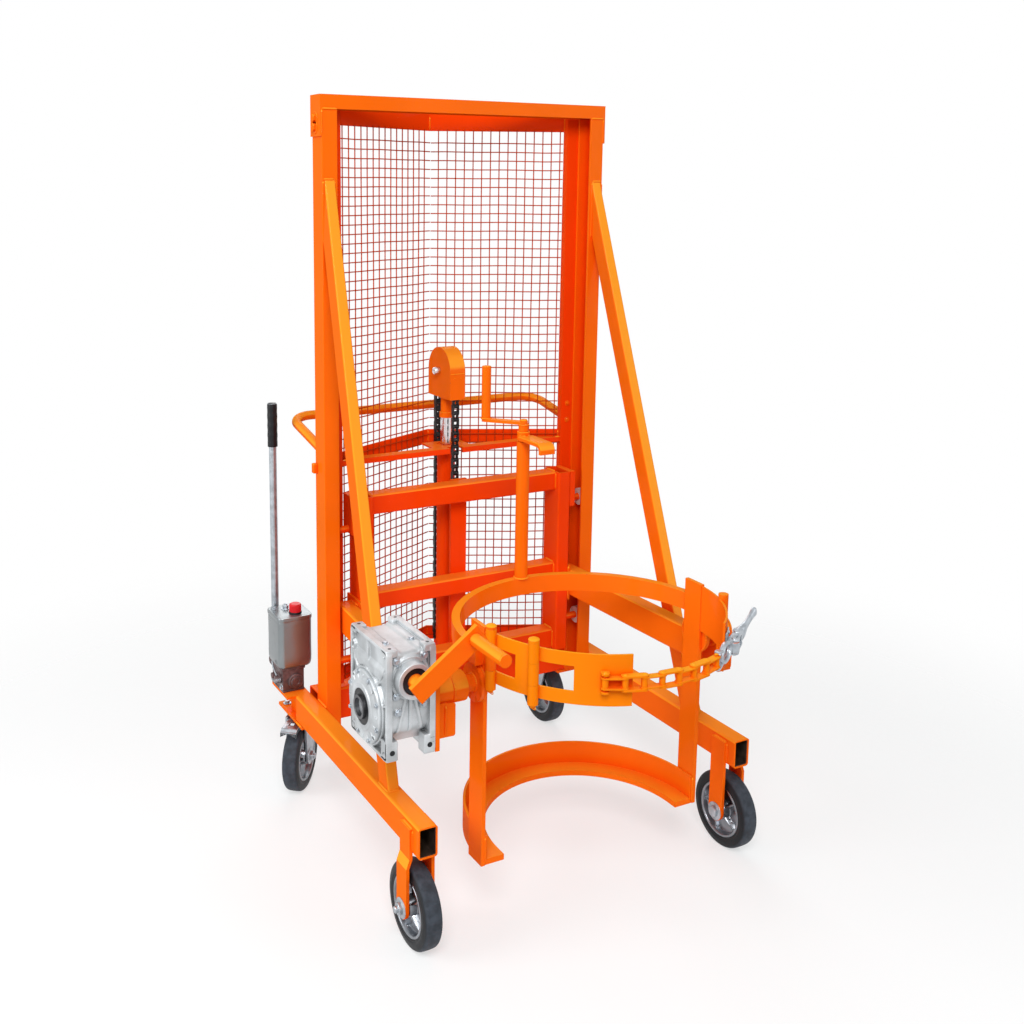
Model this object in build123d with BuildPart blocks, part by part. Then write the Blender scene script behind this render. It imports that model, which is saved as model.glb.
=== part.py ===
from build123d import *
import math
import os

# A drum trolley: a legged frame with a mast, a carriage that a hand pump lifts with a ram and a chain,
# and a drum cradle that a crank tilts through a worm gearbox.
# Sizes are in millimetres. The floor is at Z = 0 and the mast's front face is at Y = 0.
# X runs to the right seen from the drum's side, and Y runs back to the operator.

# Drum that the cradle is made for
drum_radius = 292.5
drum_height = 880.0
drum_base = 197.0
cradle_gap = 3.5

# Clearances
running_gap = 0.05
face_gap = 0.5
guide_gap = 0.3

# Wheels
wheel_radius = 100.0
tyre_width = 46.0
tyre_depth = 28.0
tyre_round = 9.0
wheel_side_gap = 5.0
hub_overhang = 3.0
hub_web = 14.0
hub_boss = 24.0
hub_rim = 9.0
axle_radius = 8.0
nut_radius = 13.0
nut_height = 8.0

# Legs and front forks
leg_width = 48.0
leg_height = 75.0
leg_wall = 4.0
leg_corner = 7.0
leg_front = -653.0
leg_back = 109.0
front_axle_y = -599.0
fork_thick = 8.0
fork_width = 50.0
fork_top_drop = 14.0
fork_step = 22.0
fork_step_drop = 12.0

# Rear casters
caster_head = 40.0
caster_plate = 8.0
caster_plate_half = 57.0
caster_plate_front = 139.0
caster_plate_back = 45.0
swivel_inset = 33.0
swivel_y = 205.0
left_caster_turn = 140.0
caster_trail = 30.0
king_pin_radius = 8.0
race_radius = 30.0
race_height = 7.0
crown_gap = 6.0
caster_cheek = 6.0
caster_cheek_half = 22.0
cheek_gap = 2.0
pedal_length = 72.0
pedal_thick = 4.0
pedal_offset = 56.0
pedal_barrel = 7.0
pedal_pin = 4.0

# Mast
mast_half = 429.0
channel_depth = 65.0
channel_width = 42.0
channel_web = 6.0
channel_flange = 7.0
channel_round = 1.5
upright_top = 1906.0
beam_height = 36.0
beam_wall = 5.0
tab_thick = 5.0
tab_drop = 68.0
tab_bolt_radius = 9.0
tab_bolt_height = 6.0
tab_bolt_spacing = 23.0

# Braces
brace_width = 30.0
brace_depth = 52.0
brace_wall = 3.0
brace_corner = 5.0
brace_top = 1650.0
brace_inset = 18.0
brace_foot_y = -449.0

# Crossbeam and cylinder foot behind the mast
crossbeam_height = 92.0
crossbeam_depth = 60.0
crossbeam_wall = 4.0
foot_half = 60.0
foot_thick = 10.0
foot_back = 192.0
lug_half = 4.0
lug_height = 33.0

# Guard
guard_post_width = 42.0
guard_post_thick = 4.0
guard_inset = 36.0
guard_corner_y = 80.0
guard_apex_y = 246.0
guard_bottom = 345.0
guard_top_rise = 16.0
guard_rail = 42.0
guard_top_rail = 52.0
guard_mid_rail = 958.0
wire_radius = 1.5
wire_pitch = 25.0
wire_touch = 0.02
wire_margin = 4.0

# Push handle
handle_radius = 13.0
handle_wall = 2.5
handle_z = 1013.0
handle_inset = 22.0
handle_tilt = 11.0
handle_reach = 252.0
handle_bend = 60.0

# Lift cylinder, ram and chain
cylinder_y = 130.0
cylinder_radius = 26.0
cylinder_bore = 20.0
cylinder_top = 978.0
gland_height = 15.0
cylinder_base = 12.0
rod_radius = 17.0
piston_bottom = 440.0
piston_height = 30.0
chain_pitch_radius = 54.0
chain_thick = 14.0
chain_width = 20.0
sheave_z = 1196.0
sheave_pin = 8.0
sheave_pin_overhang = 8.0
sheave_flange_rise = 1.0
sheave_flange = 3.5
sheave_gap = 0.4
head_half = 24.0
head_wall = 3.5
head_clear = 2.5
head_bottom = 1119.0
head_neck = 60.0
head_block_half = 20.0
head_block_height = 18.0
head_collar_radius = 20.0
head_collar_height = 15.0
head_neck_radius = 16.5

# Crossmember that steadies the cylinder
crossmember_z = 965.0
crossmember_thick = 5.0
crossmember_lip = 15.0
crossmember_depth = 34.0
crossmember_gap = 1.0
crossmember_lug_half = 60.0
crossmember_lug_back = 168.0
chain_slot_half = 20.0
chain_slot_gap = 3.5

# Carriage
carriage_side_gap = 52.0
carriage_post_width = 40.0
carriage_post_front = -18.0
carriage_post_gap = 3.0
carriage_wall = 4.0
roller_bracket_reach = 16.0
carriage_corner = 6.0
carriage_bottom = 352.0
carriage_top = 893.0
upper_bar = 55.0
middle_bar = 48.0
middle_bar_z = 571.0
bottom_bar = 60.0
bar_front = 0.0
bar_back = 50.0
chain_bar_half = 25.0
chain_bar_thick = 10.0
chain_hook_z = 500.0
chain_hook_height = 16.0
chain_hook_half = 12.0
roller_width = 20.0
roller_pin_radius = 10.0
roller_inset = 17.0
upper_roller_z = 799.0
lower_roller_z = 429.0

# Arms and tilt bearings
tilt_y = -615.0
tilt_z = 614.0
arm_width = 42.0
arm_height = 78.0
arm_drop = 98.0
arm_wall = 4.0
arm_corner = 6.0
arm_plate = 6.0
arm_plate_extra = 14.0
arm_tail_y = 40.0
arm_front_y = -650.0
arm_front_x = 407.0
right_arm_inset = 27.0
tube_radius = 35.0
tube_inner_x = 352.0
tube_outer_x = 460.0
right_tube_outer_x = 404.0
trunnion_radius = 20.0
trunnion_length = 80.0

# Worm gearbox
gearbox_plate = 10.0
gearbox_plate_drop = 66.0
gearbox_width = 115.0
gearbox_flange = 14.0
gearbox_front = -718.0
gearbox_back = -531.0
gearbox_bottom = 527.0
gearbox_top = 771.0
gearbox_inset = 8.0
gearbox_round = 12.0
gearbox_cut = 42.0
worm_height = 90.0
worm_wheel_radius = 62.0
worm_wheel_width = 40.0
gear_gap = 0.2
gear_clear = 4.0
worm_half = 52.0
input_radius = 17.0
input_boss_radius = 38.0
input_boss = 20.0
hollow_shaft_radius = 26.0
hollow_shaft_reach = 6.0
shaft_end_inset = 40.0
cover_flange = 8.0
cover_radius = 80.0
cover_ring_radius = 44.0
cover_ring = 5.0
cover_bolt_spread = 146.0
cover_bolt_hole = 3.5
cover_bolts = 4

# Crank
crank_radius = 145.0
crank_angle = 36.0
crank_width = 44.0
crank_thick = 12.0
crank_y = -766.0
crank_pin_radius = 9.0
grip_radius = 14.0
grip_length = 120.0
grip_end = 4.0

# Cradle
post_thick = 10.0
post_depth = 60.0
post_bottom_drop = 22.0
post_top = 752.0
lower_ring_thick = 6.0
lower_ring_height = 72.0
ledge_reach = 46.0
ledge_thick = 14.0
upper_ring_thick = 20.0
upper_ring_height = 45.0
upper_ring_z = 664.0
ring_leg = 28.0
trunnion_flange_radius = 45.0
trunnion_flange = 12.0

# Clamp bands
band_thick = 5.0
band_stand_off = 10.0
band_bottom = 633.0
band_height = 115.0
window_bottom = 662.0
window_height = 56.0
hinge_radius = 12.0
hinge_pin = 5.0
hinge_bottom = 620.0
hinge_height = 140.0
hinge_middle = 49.0
hinge_cap = 6.0
first_hinge_angle = 191.0
second_hinge_angle = 212.0
first_window_angle = 12.0
second_window_angle = 16.0
band_end_angle = 251.0
wing_start_angle = 308.0
wing_end_angle = 356.0
wing_barrel_angle = 338.0

# Clamp chain and latch, with heights measured from the band's middle
clamp_z = 690.0
link_pitch = 42.0
link_count = 7
link_start_angle = 240.0
link_stand_off = 11.0
link_roller = 7.0
link_pin = 3.5
link_half_width = 9.0
roller_half = 10.0
inner_link = 13.0
outer_link = 17.5
ear_thick = 4.5
latch_angle = 311.0
latch_stand_off = 19.0
latch_pin = 6.0
latch_boss = 11.0
latch_boss_half = 12.0
cheek_thick = 5.0
cheek_half_width = 12.0
latch_throw = 35.0
lever_root_reach = 70.0
lever_length = 95.0
lever_flare_angle = 15.0
lever_lift_angle = 20.0
lever_half_width = 10.0
lever_half_height = 14.0
hook_thick = 4.0
hook_half_width = 7.0
hook_gap = 0.6

# Rim clamp
rim_post_radius = 17.0
rim_post_drop = 5.0
rim_screw = 8.0
rim_screw_length = 230.0
rim_hub_half = 16.0
rim_hub_height = 26.0
rim_hook_width = 43.0
rim_hook_thick = 12.0
rim_hook_reach = 115.0
rim_hook_drop = 16.0
rim_hook_tip = 10.0
rim_neck_height = 17.0
rim_neck_radius = 13.0
rim_arm_angle = 131.0
rim_arm_length = 102.0
rim_arm_half = 11.0
rim_arm_thick = 8.0
rim_handle_radius = 12.0
rim_handle_height = 136.0

# Pump
bracket_thick = 8.0
bracket_back = 232.0
bracket_outer = 73.0
bracket_inner = 6.0
gusset_thick = 8.0
gusset_back = 200.0
block_width = 62.0
block_depth = 84.0
block_height = 70.0
block_y = 184.0
pump_offset = 42.0
tank_width = 98.0
tank_shift = 6.0
tank_depth = 106.0
tank_height = 150.0
tank_round = 14.0
tank_lid = 12.0
tank_lid_lip = 3.0
cap_radius = 17.0
cap_height = 26.0
lever_y = 257.0
lever_rise = 54.0
lever_offset = 10.0
lever_pin = 6.0
lever_socket = 11.0
lever_socket_half = 11.0
lever_ear = 6.0
lever_radius = 10.5
lever_top = 1116.0
lever_grip_radius = 13.0
lever_grip_length = 118.0

# Worked out from the sizes above
sides = ((-1, "left"), (1, "right"))
leg_clear = 2 * wheel_radius + caster_head
leg_top = leg_clear + leg_height
leg_x = mast_half + leg_width / 2
swivel_x = leg_x - swivel_inset
front_wheel_x = mast_half + wheel_side_gap + tyre_width / 2
fork_out_x = front_wheel_x + tyre_width / 2 + wheel_side_gap
caster_axle_y = swivel_y + caster_trail
hub_radius = wheel_radius - tyre_depth
crossbeam_top = leg_clear + crossbeam_height
foot_top = crossbeam_top + foot_thick
guard_half = mast_half - channel_width - guard_inset
guard_top = upright_top + guard_top_rise
front_strand = cylinder_y - chain_pitch_radius
rear_strand = cylinder_y + chain_pitch_radius
chain_hook_top = chain_hook_z + chain_hook_height
rod_top = head_bottom - head_neck
sheave_flange_radius = chain_pitch_radius + sheave_flange_rise
head_radius = chain_pitch_radius + chain_thick / 2 + head_clear + head_wall
carriage_half = mast_half - channel_width - carriage_side_gap
carriage_back = channel_depth - carriage_post_gap
roller_y = channel_depth / 2
roller_radius = channel_depth / 2 - channel_flange - guide_gap
roller_x = mast_half - channel_web - roller_inset
arm_bottom = tilt_z - arm_drop
arm_tail_x = carriage_half + arm_plate / 4 + arm_width / 2
gearbox_right = -tube_outer_x - gearbox_plate
gearbox_left = gearbox_right - gearbox_width
gearbox_x = (gearbox_left + gearbox_right) / 2
worm_z = tilt_z + worm_height
worm_radius = worm_height - worm_wheel_radius - gear_gap
cradle_radius = drum_radius + cradle_gap
post_inner = cradle_radius + lower_ring_thick
post_outer = post_inner + post_thick
post_bottom = drum_base - post_bottom_drop
band_inner = cradle_radius + band_stand_off
band_outer = band_inner + band_thick
hinge_circle = band_inner + hinge_radius
hinge_split_low = hinge_bottom + (hinge_height - hinge_middle) / 2
hinge_split_high = hinge_split_low + hinge_middle
hinge_top = hinge_bottom + hinge_height
chain_circle = band_outer + link_stand_off
link_step = 2 * math.degrees(math.asin(link_pitch / 2 / chain_circle))
latch_circle = band_outer + latch_stand_off
upper_ring_inner = math.hypot(post_outer, post_depth / 2)
ring_middle = upper_ring_inner + upper_ring_thick / 2
rim_y = tilt_y + ring_middle
rim_post_top = drum_base + drum_height - rim_post_drop
rim_hub_bottom = rim_post_top + face_gap
rim_hub_top = rim_hub_bottom + rim_hub_height
pump_x = -(mast_half + pump_offset)
lever_x = pump_x - lever_offset
block_top = leg_top + block_height
tank_top = block_top + tank_height
lever_z = leg_top + lever_rise

kept = {}


def front_plane(y):
    """An upright sketch plane across the trolley, which extrudes forwards."""
    return Plane.XZ.offset(-y)


def side_plane(x):
    """An upright sketch plane along the trolley, which extrudes to the right."""
    return Plane.YZ.offset(x)


def level(z):
    """A flat sketch plane at a height, which extrudes upwards."""
    return Plane.XY.offset(z)


def block(x, y, z, mode=Mode.ADD):
    """Puts a block between pairs of limits into the open part."""
    with Locations(((x[0] + x[1]) / 2, (y[0] + y[1]) / 2, (z[0] + z[1]) / 2)):
        Box(abs(x[1] - x[0]), abs(y[1] - y[0]), abs(z[1] - z[0]), mode=mode)


def rod_x(x, centre, radius, mode=Mode.ADD):
    """Puts a round bar along X into the open part, with its centre given as Y and Z."""
    with Locations(Location(((x[0] + x[1]) / 2, centre[0], centre[1]), (0, 90, 0))):
        Cylinder(radius, abs(x[1] - x[0]), mode=mode)


def rod_y(y, centre, radius, mode=Mode.ADD):
    """Puts a round bar along Y into the open part, with its centre given as X and Z."""
    with Locations(Location((centre[0], (y[0] + y[1]) / 2, centre[1]), (90, 0, 0))):
        Cylinder(radius, abs(y[1] - y[0]), mode=mode)


def rod_z(z, centre, radius, mode=Mode.ADD):
    """Puts a round bar along Z into the open part, with its centre given as X and Y."""
    with Locations((centre[0], centre[1], (z[0] + z[1]) / 2)):
        Cylinder(radius, abs(z[1] - z[0]), mode=mode)


def round_drum(radius, angle):
    """A point on a circle about the drum's axis, with the angle from the right and the front at 270."""
    turn = math.radians(angle)
    return (radius * math.cos(turn), tilt_y + radius * math.sin(turn))


def box_tube(plane, centre, width, height, wall, corner, length):
    """A rounded box tube drawn on a plane."""
    with BuildPart() as tube:
        with BuildSketch(plane):
            with Locations(centre):
                RectangleRounded(width, height, corner)
                RectangleRounded(
                    width - 2 * wall, height - 2 * wall, max(corner - wall, face_gap), mode=Mode.SUBTRACT
                )
        extrude(amount=length)
    return tube.part


def ring_part(inner, outer, start, end, bottom, height):
    """A stretch of a ring about the drum's axis."""
    with BuildPart() as ring:
        with BuildSketch(level(bottom)):
            with BuildLine():
                outside = CenterArc((0, tilt_y), outer, start, end - start)
                inside = CenterArc((0, tilt_y), inner, start, end - start)
                Line(outside @ 0, inside @ 0)
                Line(outside @ 1, inside @ 1)
            make_face()
        extrude(amount=height)
    return ring.part


def strip(start, end, half_width, bottom, height):
    """A flat link with round ends between two points."""
    across = math.degrees(math.atan2(end[1] - start[1], end[0] - start[0]))
    length = math.dist(start, end)
    with BuildPart() as link:
        with BuildSketch(level(bottom)):
            with Locations(((start[0] + end[0]) / 2, (start[1] + end[1]) / 2)):
                SlotCenterToCenter(length, 2 * half_width, rotation=across)
        extrude(amount=height)
    return link.part


def keep(name, part):
    """Names a finished part and puts it with the others."""
    part.label = name
    kept[name] = part


# Legs with their fork bars and caster plates
fork_y = (front_axle_y - fork_width / 2, front_axle_y + fork_width / 2)
fork_top = leg_top - fork_top_drop
step_top = leg_clear - fork_step_drop
step_bottom = step_top - fork_step
for side, hand in sides:
    leg_tube = box_tube(
        front_plane(leg_back),
        (side * leg_x, leg_clear + leg_height / 2),
        leg_width,
        leg_height,
        leg_wall,
        leg_corner,
        leg_back - leg_front,
    )
    inner_bar = (side * (mast_half - fork_thick), side * mast_half)
    outer_bar = (side * fork_out_x, side * (fork_out_x + fork_thick))
    leg_outer = side * (mast_half + leg_width)
    with BuildPart() as leg:
        add(leg_tube)
        block(
            (side * (mast_half + leg_wall), leg_outer - side * leg_wall),
            (leg_back - leg_wall, leg_back),
            (leg_clear + leg_wall, leg_top - leg_wall),
        )
        block(inner_bar, fork_y, (wheel_radius, fork_top))
        rod_x(inner_bar, (front_axle_y, wheel_radius), fork_width / 2)
        with BuildSketch(front_plane(fork_y[1])):
            with BuildLine():
                Polyline(
                    (leg_outer, fork_top),
                    (leg_outer + side * fork_thick, fork_top),
                    (leg_outer + side * fork_thick, step_top),
                    (outer_bar[1], step_bottom),
                    (outer_bar[1], wheel_radius),
                    (outer_bar[0], wheel_radius),
                    (outer_bar[0], step_bottom),
                    (leg_outer, step_top),
                    close=True,
                )
            make_face()
        extrude(amount=fork_width)
        rod_x(outer_bar, (front_axle_y, wheel_radius), fork_width / 2)
        rod_x(
            (inner_bar[0], outer_bar[1]),
            (front_axle_y, wheel_radius),
            axle_radius + running_gap,
            mode=Mode.SUBTRACT,
        )
        block(
            (side * (swivel_x - caster_plate_half), side * (swivel_x + caster_plate_half)),
            (swivel_y - caster_plate_front, swivel_y + caster_plate_back),
            (leg_clear - caster_plate, leg_clear),
        )
        rod_z(
            (leg_clear - caster_plate, leg_clear),
            (side * swivel_x, swivel_y),
            king_pin_radius + running_gap,
            mode=Mode.SUBTRACT,
        )
        if hand == "left":
            block(
                (-mast_half - bracket_outer, -mast_half - bracket_inner),
                (leg_back, bracket_back),
                (leg_top - bracket_thick, leg_top),
            )
            block(
                (-leg_x - gusset_thick / 2, -leg_x + gusset_thick / 2),
                (leg_back, gusset_back),
                (leg_clear, leg_top),
            )
    keep(hand + "_leg", leg.part)

# Channel uprights, open towards each other
for side, hand in sides:
    web = side * mast_half
    edge = side * (mast_half - channel_width)
    floor = side * (mast_half - channel_web)
    with BuildPart() as upright:
        with BuildSketch(level(leg_clear)):
            with BuildLine():
                Polyline(
                    (web, 0),
                    (edge, 0),
                    (edge, channel_flange),
                    (floor, channel_flange),
                    (floor, channel_depth - channel_flange),
                    (edge, channel_depth - channel_flange),
                    (edge, channel_depth),
                    (web, channel_depth),
                    close=True,
                )
            make_face()
        extrude(amount=upright_top - leg_clear)
        fillet(upright.edges().filter_by(Axis.Z), channel_round)
    keep(hand + "_upright", upright.part)

# Top beam, an open channel turned down, with a tab over each upright's web
beam_top = upright_top + beam_height
with BuildPart() as top_beam:
    block((-mast_half, mast_half), (0, channel_depth), (upright_top, beam_top))
    block(
        (-mast_half, mast_half),
        (beam_wall, channel_depth - beam_wall),
        (upright_top, beam_top - beam_wall),
        mode=Mode.SUBTRACT,
    )
    for side, hand in sides:
        block(
            (side * mast_half, side * (mast_half + tab_thick)),
            (0, channel_depth),
            (upright_top - tab_drop, beam_top),
        )
keep("top_beam", top_beam.part)

# Braces from the legs up to the uprights, cut flush at both ends
for side, hand in sides:
    brace_foot = Vector(side * leg_x, brace_foot_y, leg_top)
    brace_head = Vector(side * (mast_half - brace_inset), 0, brace_top)
    run = brace_head - brace_foot
    lean = run.normalized()
    slack = 2 * brace_depth
    brace_plane = Plane(
        origin=brace_foot - lean * slack, x_dir=Vector(0, 1, 0).cross(lean), z_dir=lean
    )
    brace_tube = box_tube(
        brace_plane, (0, 0), brace_width, brace_depth, brace_wall, brace_corner, run.length + 4 * slack
    )
    with BuildPart() as brace:
        add(brace_tube)
        split(bisect_by=front_plane(0), keep=Keep.TOP)
        split(bisect_by=level(leg_top), keep=Keep.TOP)
    keep(hand + "_brace", brace.part)

# Lower crossbeam with the cylinder's foot and the chain's fixed end
crossbeam_y = (channel_depth, channel_depth + crossbeam_depth)
crossbeam_tube = box_tube(
    side_plane(-mast_half),
    (channel_depth + crossbeam_depth / 2, leg_clear + crossbeam_height / 2),
    crossbeam_depth,
    crossbeam_height,
    crossbeam_wall,
    leg_corner,
    2 * mast_half,
)
with BuildPart() as lower_crossbeam:
    add(crossbeam_tube)
    block((-foot_half, foot_half), (crossbeam_y[0], foot_back), (crossbeam_top, foot_top))
    block(
        (-lug_half, lug_half),
        (crossbeam_y[1], foot_back),
        (crossbeam_top - crossbeam_height / 2, crossbeam_top),
    )
    block(
        (-lug_half, lug_half),
        (rear_strand - chain_thick / 2, rear_strand + chain_thick / 2),
        (foot_top, foot_top + lug_height),
    )
keep("lower_crossbeam", lower_crossbeam.part)

# Crossmember between the guard posts, trimmed clear of the mesh and slotted for the chain
facet_length = math.hypot(guard_half, guard_apex_y - guard_corner_y)
facet_cos = guard_half / facet_length
facet_sin = (guard_apex_y - guard_corner_y) / facet_length
crossmember_front = channel_depth + crossmember_gap
crossmember_back = crossmember_front + crossmember_depth
crossmember_top = crossmember_z + crossmember_lip
plate_z = (crossmember_top - crossmember_thick, crossmember_top)
mesh_front = guard_corner_y - (4 * wire_radius + crossmember_gap) / facet_cos
trim_back = max(mesh_front, crossmember_front + crossmember_thick)
trim_x = guard_half - (crossmember_back - trim_back) * facet_cos / facet_sin
chain_slot_back = front_strand + chain_thick / 2 + chain_slot_gap
with BuildPart() as cylinder_crossmember:
    with BuildSketch(level(plate_z[0])):
        with BuildLine():
            Polyline(
                (-guard_half, crossmember_front),
                (-guard_half, trim_back),
                (-trim_x, crossmember_back),
                (trim_x, crossmember_back),
                (guard_half, trim_back),
                (guard_half, crossmember_front),
                close=True,
            )
        make_face()
    extrude(amount=crossmember_thick)
    block(
        (-guard_half, guard_half),
        (crossmember_front, crossmember_front + crossmember_thick),
        (crossmember_z, crossmember_top),
    )
    block(
        (-crossmember_lug_half, crossmember_lug_half), (crossmember_front, crossmember_lug_back), plate_z
    )
    block(
        (-chain_slot_half, chain_slot_half),
        (crossmember_front, chain_slot_back),
        (crossmember_z, crossmember_top),
        mode=Mode.SUBTRACT,
    )
    rod_z(plate_z, (0, cylinder_y), cylinder_radius + running_gap, mode=Mode.SUBTRACT)
keep("cylinder_crossmember", cylinder_crossmember.part)

# Guard frame: two angle posts joined by bent rails
rail_back = guard_post_thick / facet_cos
top_rail_z = guard_top - guard_top_rail
rails = ((guard_bottom, guard_rail), (guard_mid_rail, guard_rail), (top_rail_z, guard_top_rail))
with BuildPart() as guard_frame:
    for side, hand in sides:
        block(
            (side * guard_half, side * (guard_half + guard_post_width)),
            (channel_depth, channel_depth + guard_post_thick),
            (guard_bottom, guard_top),
        )
        block(
            (side * guard_half, side * (guard_half + guard_post_thick)),
            (channel_depth, guard_corner_y + rail_back),
            (guard_bottom, guard_top),
        )
    for rail_z, rail_height in rails:
        with BuildSketch(level(rail_z)):
            with BuildLine():
                Polyline(
                    (-guard_half, guard_corner_y),
                    (0, guard_apex_y),
                    (guard_half, guard_corner_y),
                    (guard_half, guard_corner_y + rail_back),
                    (0, guard_apex_y + rail_back),
                    (-guard_half, guard_corner_y + rail_back),
                    close=True,
                )
            make_face()
        extrude(amount=rail_height)
keep("guard_frame", guard_frame.part)

# Guard mesh in two flat panels, the level wires in front of the upright ones
wire_low = guard_bottom + wire_margin
wire_high = top_rail_z + wire_margin
upright_wires = int(facet_length / wire_pitch)
level_wires = int((wire_high - wire_low) / wire_pitch)
for side, hand in sides:
    along = Vector(-side * facet_cos, facet_sin, 0)
    forward = Vector(-side * facet_sin, -facet_cos, 0)
    corner = Vector(side * guard_half, guard_corner_y, 0)
    upright_line = corner + forward * (wire_radius + wire_touch)
    level_line = corner + forward * (3 * wire_radius + 2 * wire_touch) + along * wire_margin
    upright_spots = [upright_line + along * wire_pitch * (n + 0.5) for n in range(upright_wires)]
    level_spots = [(0, side * (wire_low + wire_pitch * (n + 0.5))) for n in range(level_wires)]
    with BuildPart() as mesh:
        with BuildSketch(level(wire_low)):
            with Locations([(spot.X, spot.Y) for spot in upright_spots]):
                Circle(wire_radius)
        extrude(amount=wire_high - wire_low)
        with BuildSketch(Plane(origin=level_line, x_dir=forward, z_dir=along)):
            with Locations(level_spots):
                Circle(wire_radius)
        extrude(amount=facet_length - 2 * wire_margin)
    keep(hand + "_guard_mesh", mesh.part)

# Push handle, a bent tube behind the guard that rises to its bar
handle_x = mast_half - handle_inset
handle_plane = Plane((0, channel_depth, handle_z)).rotated((handle_tilt, 0, 0))
handle_start = handle_plane.from_local_coords((-handle_x, -handle_radius, 0))
handle_bow = [(-handle_x, handle_reach), (handle_x, handle_reach)]
with BuildPart() as push_handle:
    with BuildLine(handle_plane):
        FilletPolyline(
            (-handle_x, -handle_radius), *handle_bow, (handle_x, -handle_radius), radius=handle_bend
        )
    with BuildSketch(Plane(handle_start, z_dir=handle_plane.y_dir)):
        Circle(handle_radius)
        Circle(handle_radius - handle_wall, mode=Mode.SUBTRACT)
    sweep()
    split(bisect_by=front_plane(channel_depth), keep=Keep.BOTTOM)
keep("push_handle", push_handle.part)

# Lift cylinder
bore_top = cylinder_top - gland_height
with BuildPart() as lift_cylinder:
    rod_z((foot_top, cylinder_top), (0, cylinder_y), cylinder_radius)
    rod_z((foot_top + cylinder_base, bore_top), (0, cylinder_y), cylinder_bore, mode=Mode.SUBTRACT)
    rod_z((bore_top, cylinder_top), (0, cylinder_y), rod_radius + running_gap, mode=Mode.SUBTRACT)
keep("lift_cylinder", lift_cylinder.part)

# Ram rod and piston
with BuildPart() as ram_rod:
    rod_z((piston_bottom, rod_top), (0, cylinder_y), rod_radius)
    rod_z(
        (piston_bottom, piston_bottom + piston_height), (0, cylinder_y), cylinder_bore - running_gap
    )
keep("ram_rod", ram_rod.part)

# Sheave head: a round-topped cover on a block, with the sheave's pin
head_inside = head_radius - head_wall
with BuildPart() as sheave_head:
    with BuildSketch(side_plane(-head_half)):
        with Locations((cylinder_y, sheave_z)):
            Circle(head_radius)
        with Locations((cylinder_y, (sheave_z + head_bottom) / 2)):
            Rectangle(2 * head_radius, sheave_z - head_bottom)
    extrude(amount=2 * head_half)
    with BuildSketch(side_plane(-head_half + head_wall)):
        with Locations((cylinder_y, sheave_z)):
            Circle(head_inside)
        with Locations((cylinder_y, (sheave_z + head_bottom) / 2)):
            Rectangle(2 * head_inside, sheave_z - head_bottom)
    extrude(amount=2 * (head_half - head_wall), mode=Mode.SUBTRACT)
    block(
        (-head_half + head_wall, head_half - head_wall),
        (cylinder_y - head_block_half, cylinder_y + head_block_half),
        (head_bottom, head_bottom + head_block_height),
    )
    rod_z((rod_top, head_bottom), (0, cylinder_y), head_neck_radius)
    rod_z((rod_top, rod_top + head_collar_height), (0, cylinder_y), head_collar_radius)
    rod_x(
        (-head_half - sheave_pin_overhang, head_half + sheave_pin_overhang),
        (cylinder_y, sheave_z),
        sheave_pin,
    )
keep("sheave_head", sheave_head.part)

# Chain sheave
sheave_inner = chain_width / 2 + face_gap
sheave_outer = sheave_inner + sheave_flange
sheave_root = chain_pitch_radius - chain_thick / 2 - sheave_gap
with BuildPart() as chain_sheave:
    rod_x((-sheave_outer, sheave_outer), (cylinder_y, sheave_z), sheave_root)
    for side, hand in sides:
        rod_x((side * sheave_inner, side * sheave_outer), (cylinder_y, sheave_z), sheave_flange_radius)
    rod_x(
        (-sheave_outer, sheave_outer), (cylinder_y, sheave_z), sheave_pin + running_gap, mode=Mode.SUBTRACT
    )
keep("chain_sheave", chain_sheave.part)

# Lift chain as two strands joined over the sheave
chain_x = (-chain_width / 2, chain_width / 2)
with BuildPart() as lift_chain:
    with BuildSketch(side_plane(chain_x[0])):
        with Locations((cylinder_y, sheave_z)):
            Circle(chain_pitch_radius + chain_thick / 2)
            Circle(chain_pitch_radius - chain_thick / 2, mode=Mode.SUBTRACT)
        with Locations((cylinder_y, sheave_z - sheave_flange_radius)):
            Rectangle(4 * sheave_flange_radius, 2 * sheave_flange_radius, mode=Mode.SUBTRACT)
    extrude(amount=chain_width)
    for strand, low in ((front_strand, chain_hook_top), (rear_strand, foot_top + lug_height)):
        block(chain_x, (strand - chain_thick / 2, strand + chain_thick / 2), (low + guide_gap, sheave_z))
keep("lift_chain", lift_chain.part)

# Pump block with the lever's ears and pin
block_y_limits = (block_y - block_depth / 2, block_y + block_depth / 2)
ear_inner = lever_socket_half + face_gap
with BuildPart() as pump_block:
    block((pump_x - block_width / 2, pump_x + block_width / 2), block_y_limits, (leg_top, block_top))
    for side, hand in sides:
        ear = (lever_x + side * ear_inner, lever_x + side * (ear_inner + lever_ear))
        block(ear, (block_y_limits[1], lever_y), (lever_z - lever_socket, lever_z + lever_socket))
        rod_x(ear, (lever_y, lever_z), lever_socket)
    rod_x((lever_x - ear_inner - lever_ear, lever_x + ear_inner + lever_ear), (lever_y, lever_z), lever_pin)
keep("pump_block", pump_block.part)

# Oil tank with its lid
tank_body = tank_height - tank_lid
with BuildPart() as pump_tank:
    with BuildSketch(level(block_top)):
        with Locations((pump_x + tank_shift, block_y)):
            RectangleRounded(tank_width, tank_depth, tank_round)
    extrude(amount=tank_body)
    with BuildSketch(level(block_top + tank_body)):
        with Locations((pump_x + tank_shift, block_y)):
            RectangleRounded(tank_width + 2 * tank_lid_lip, tank_depth + 2 * tank_lid_lip, tank_round)
    extrude(amount=tank_lid)
keep("pump_tank", pump_tank.part)

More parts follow.
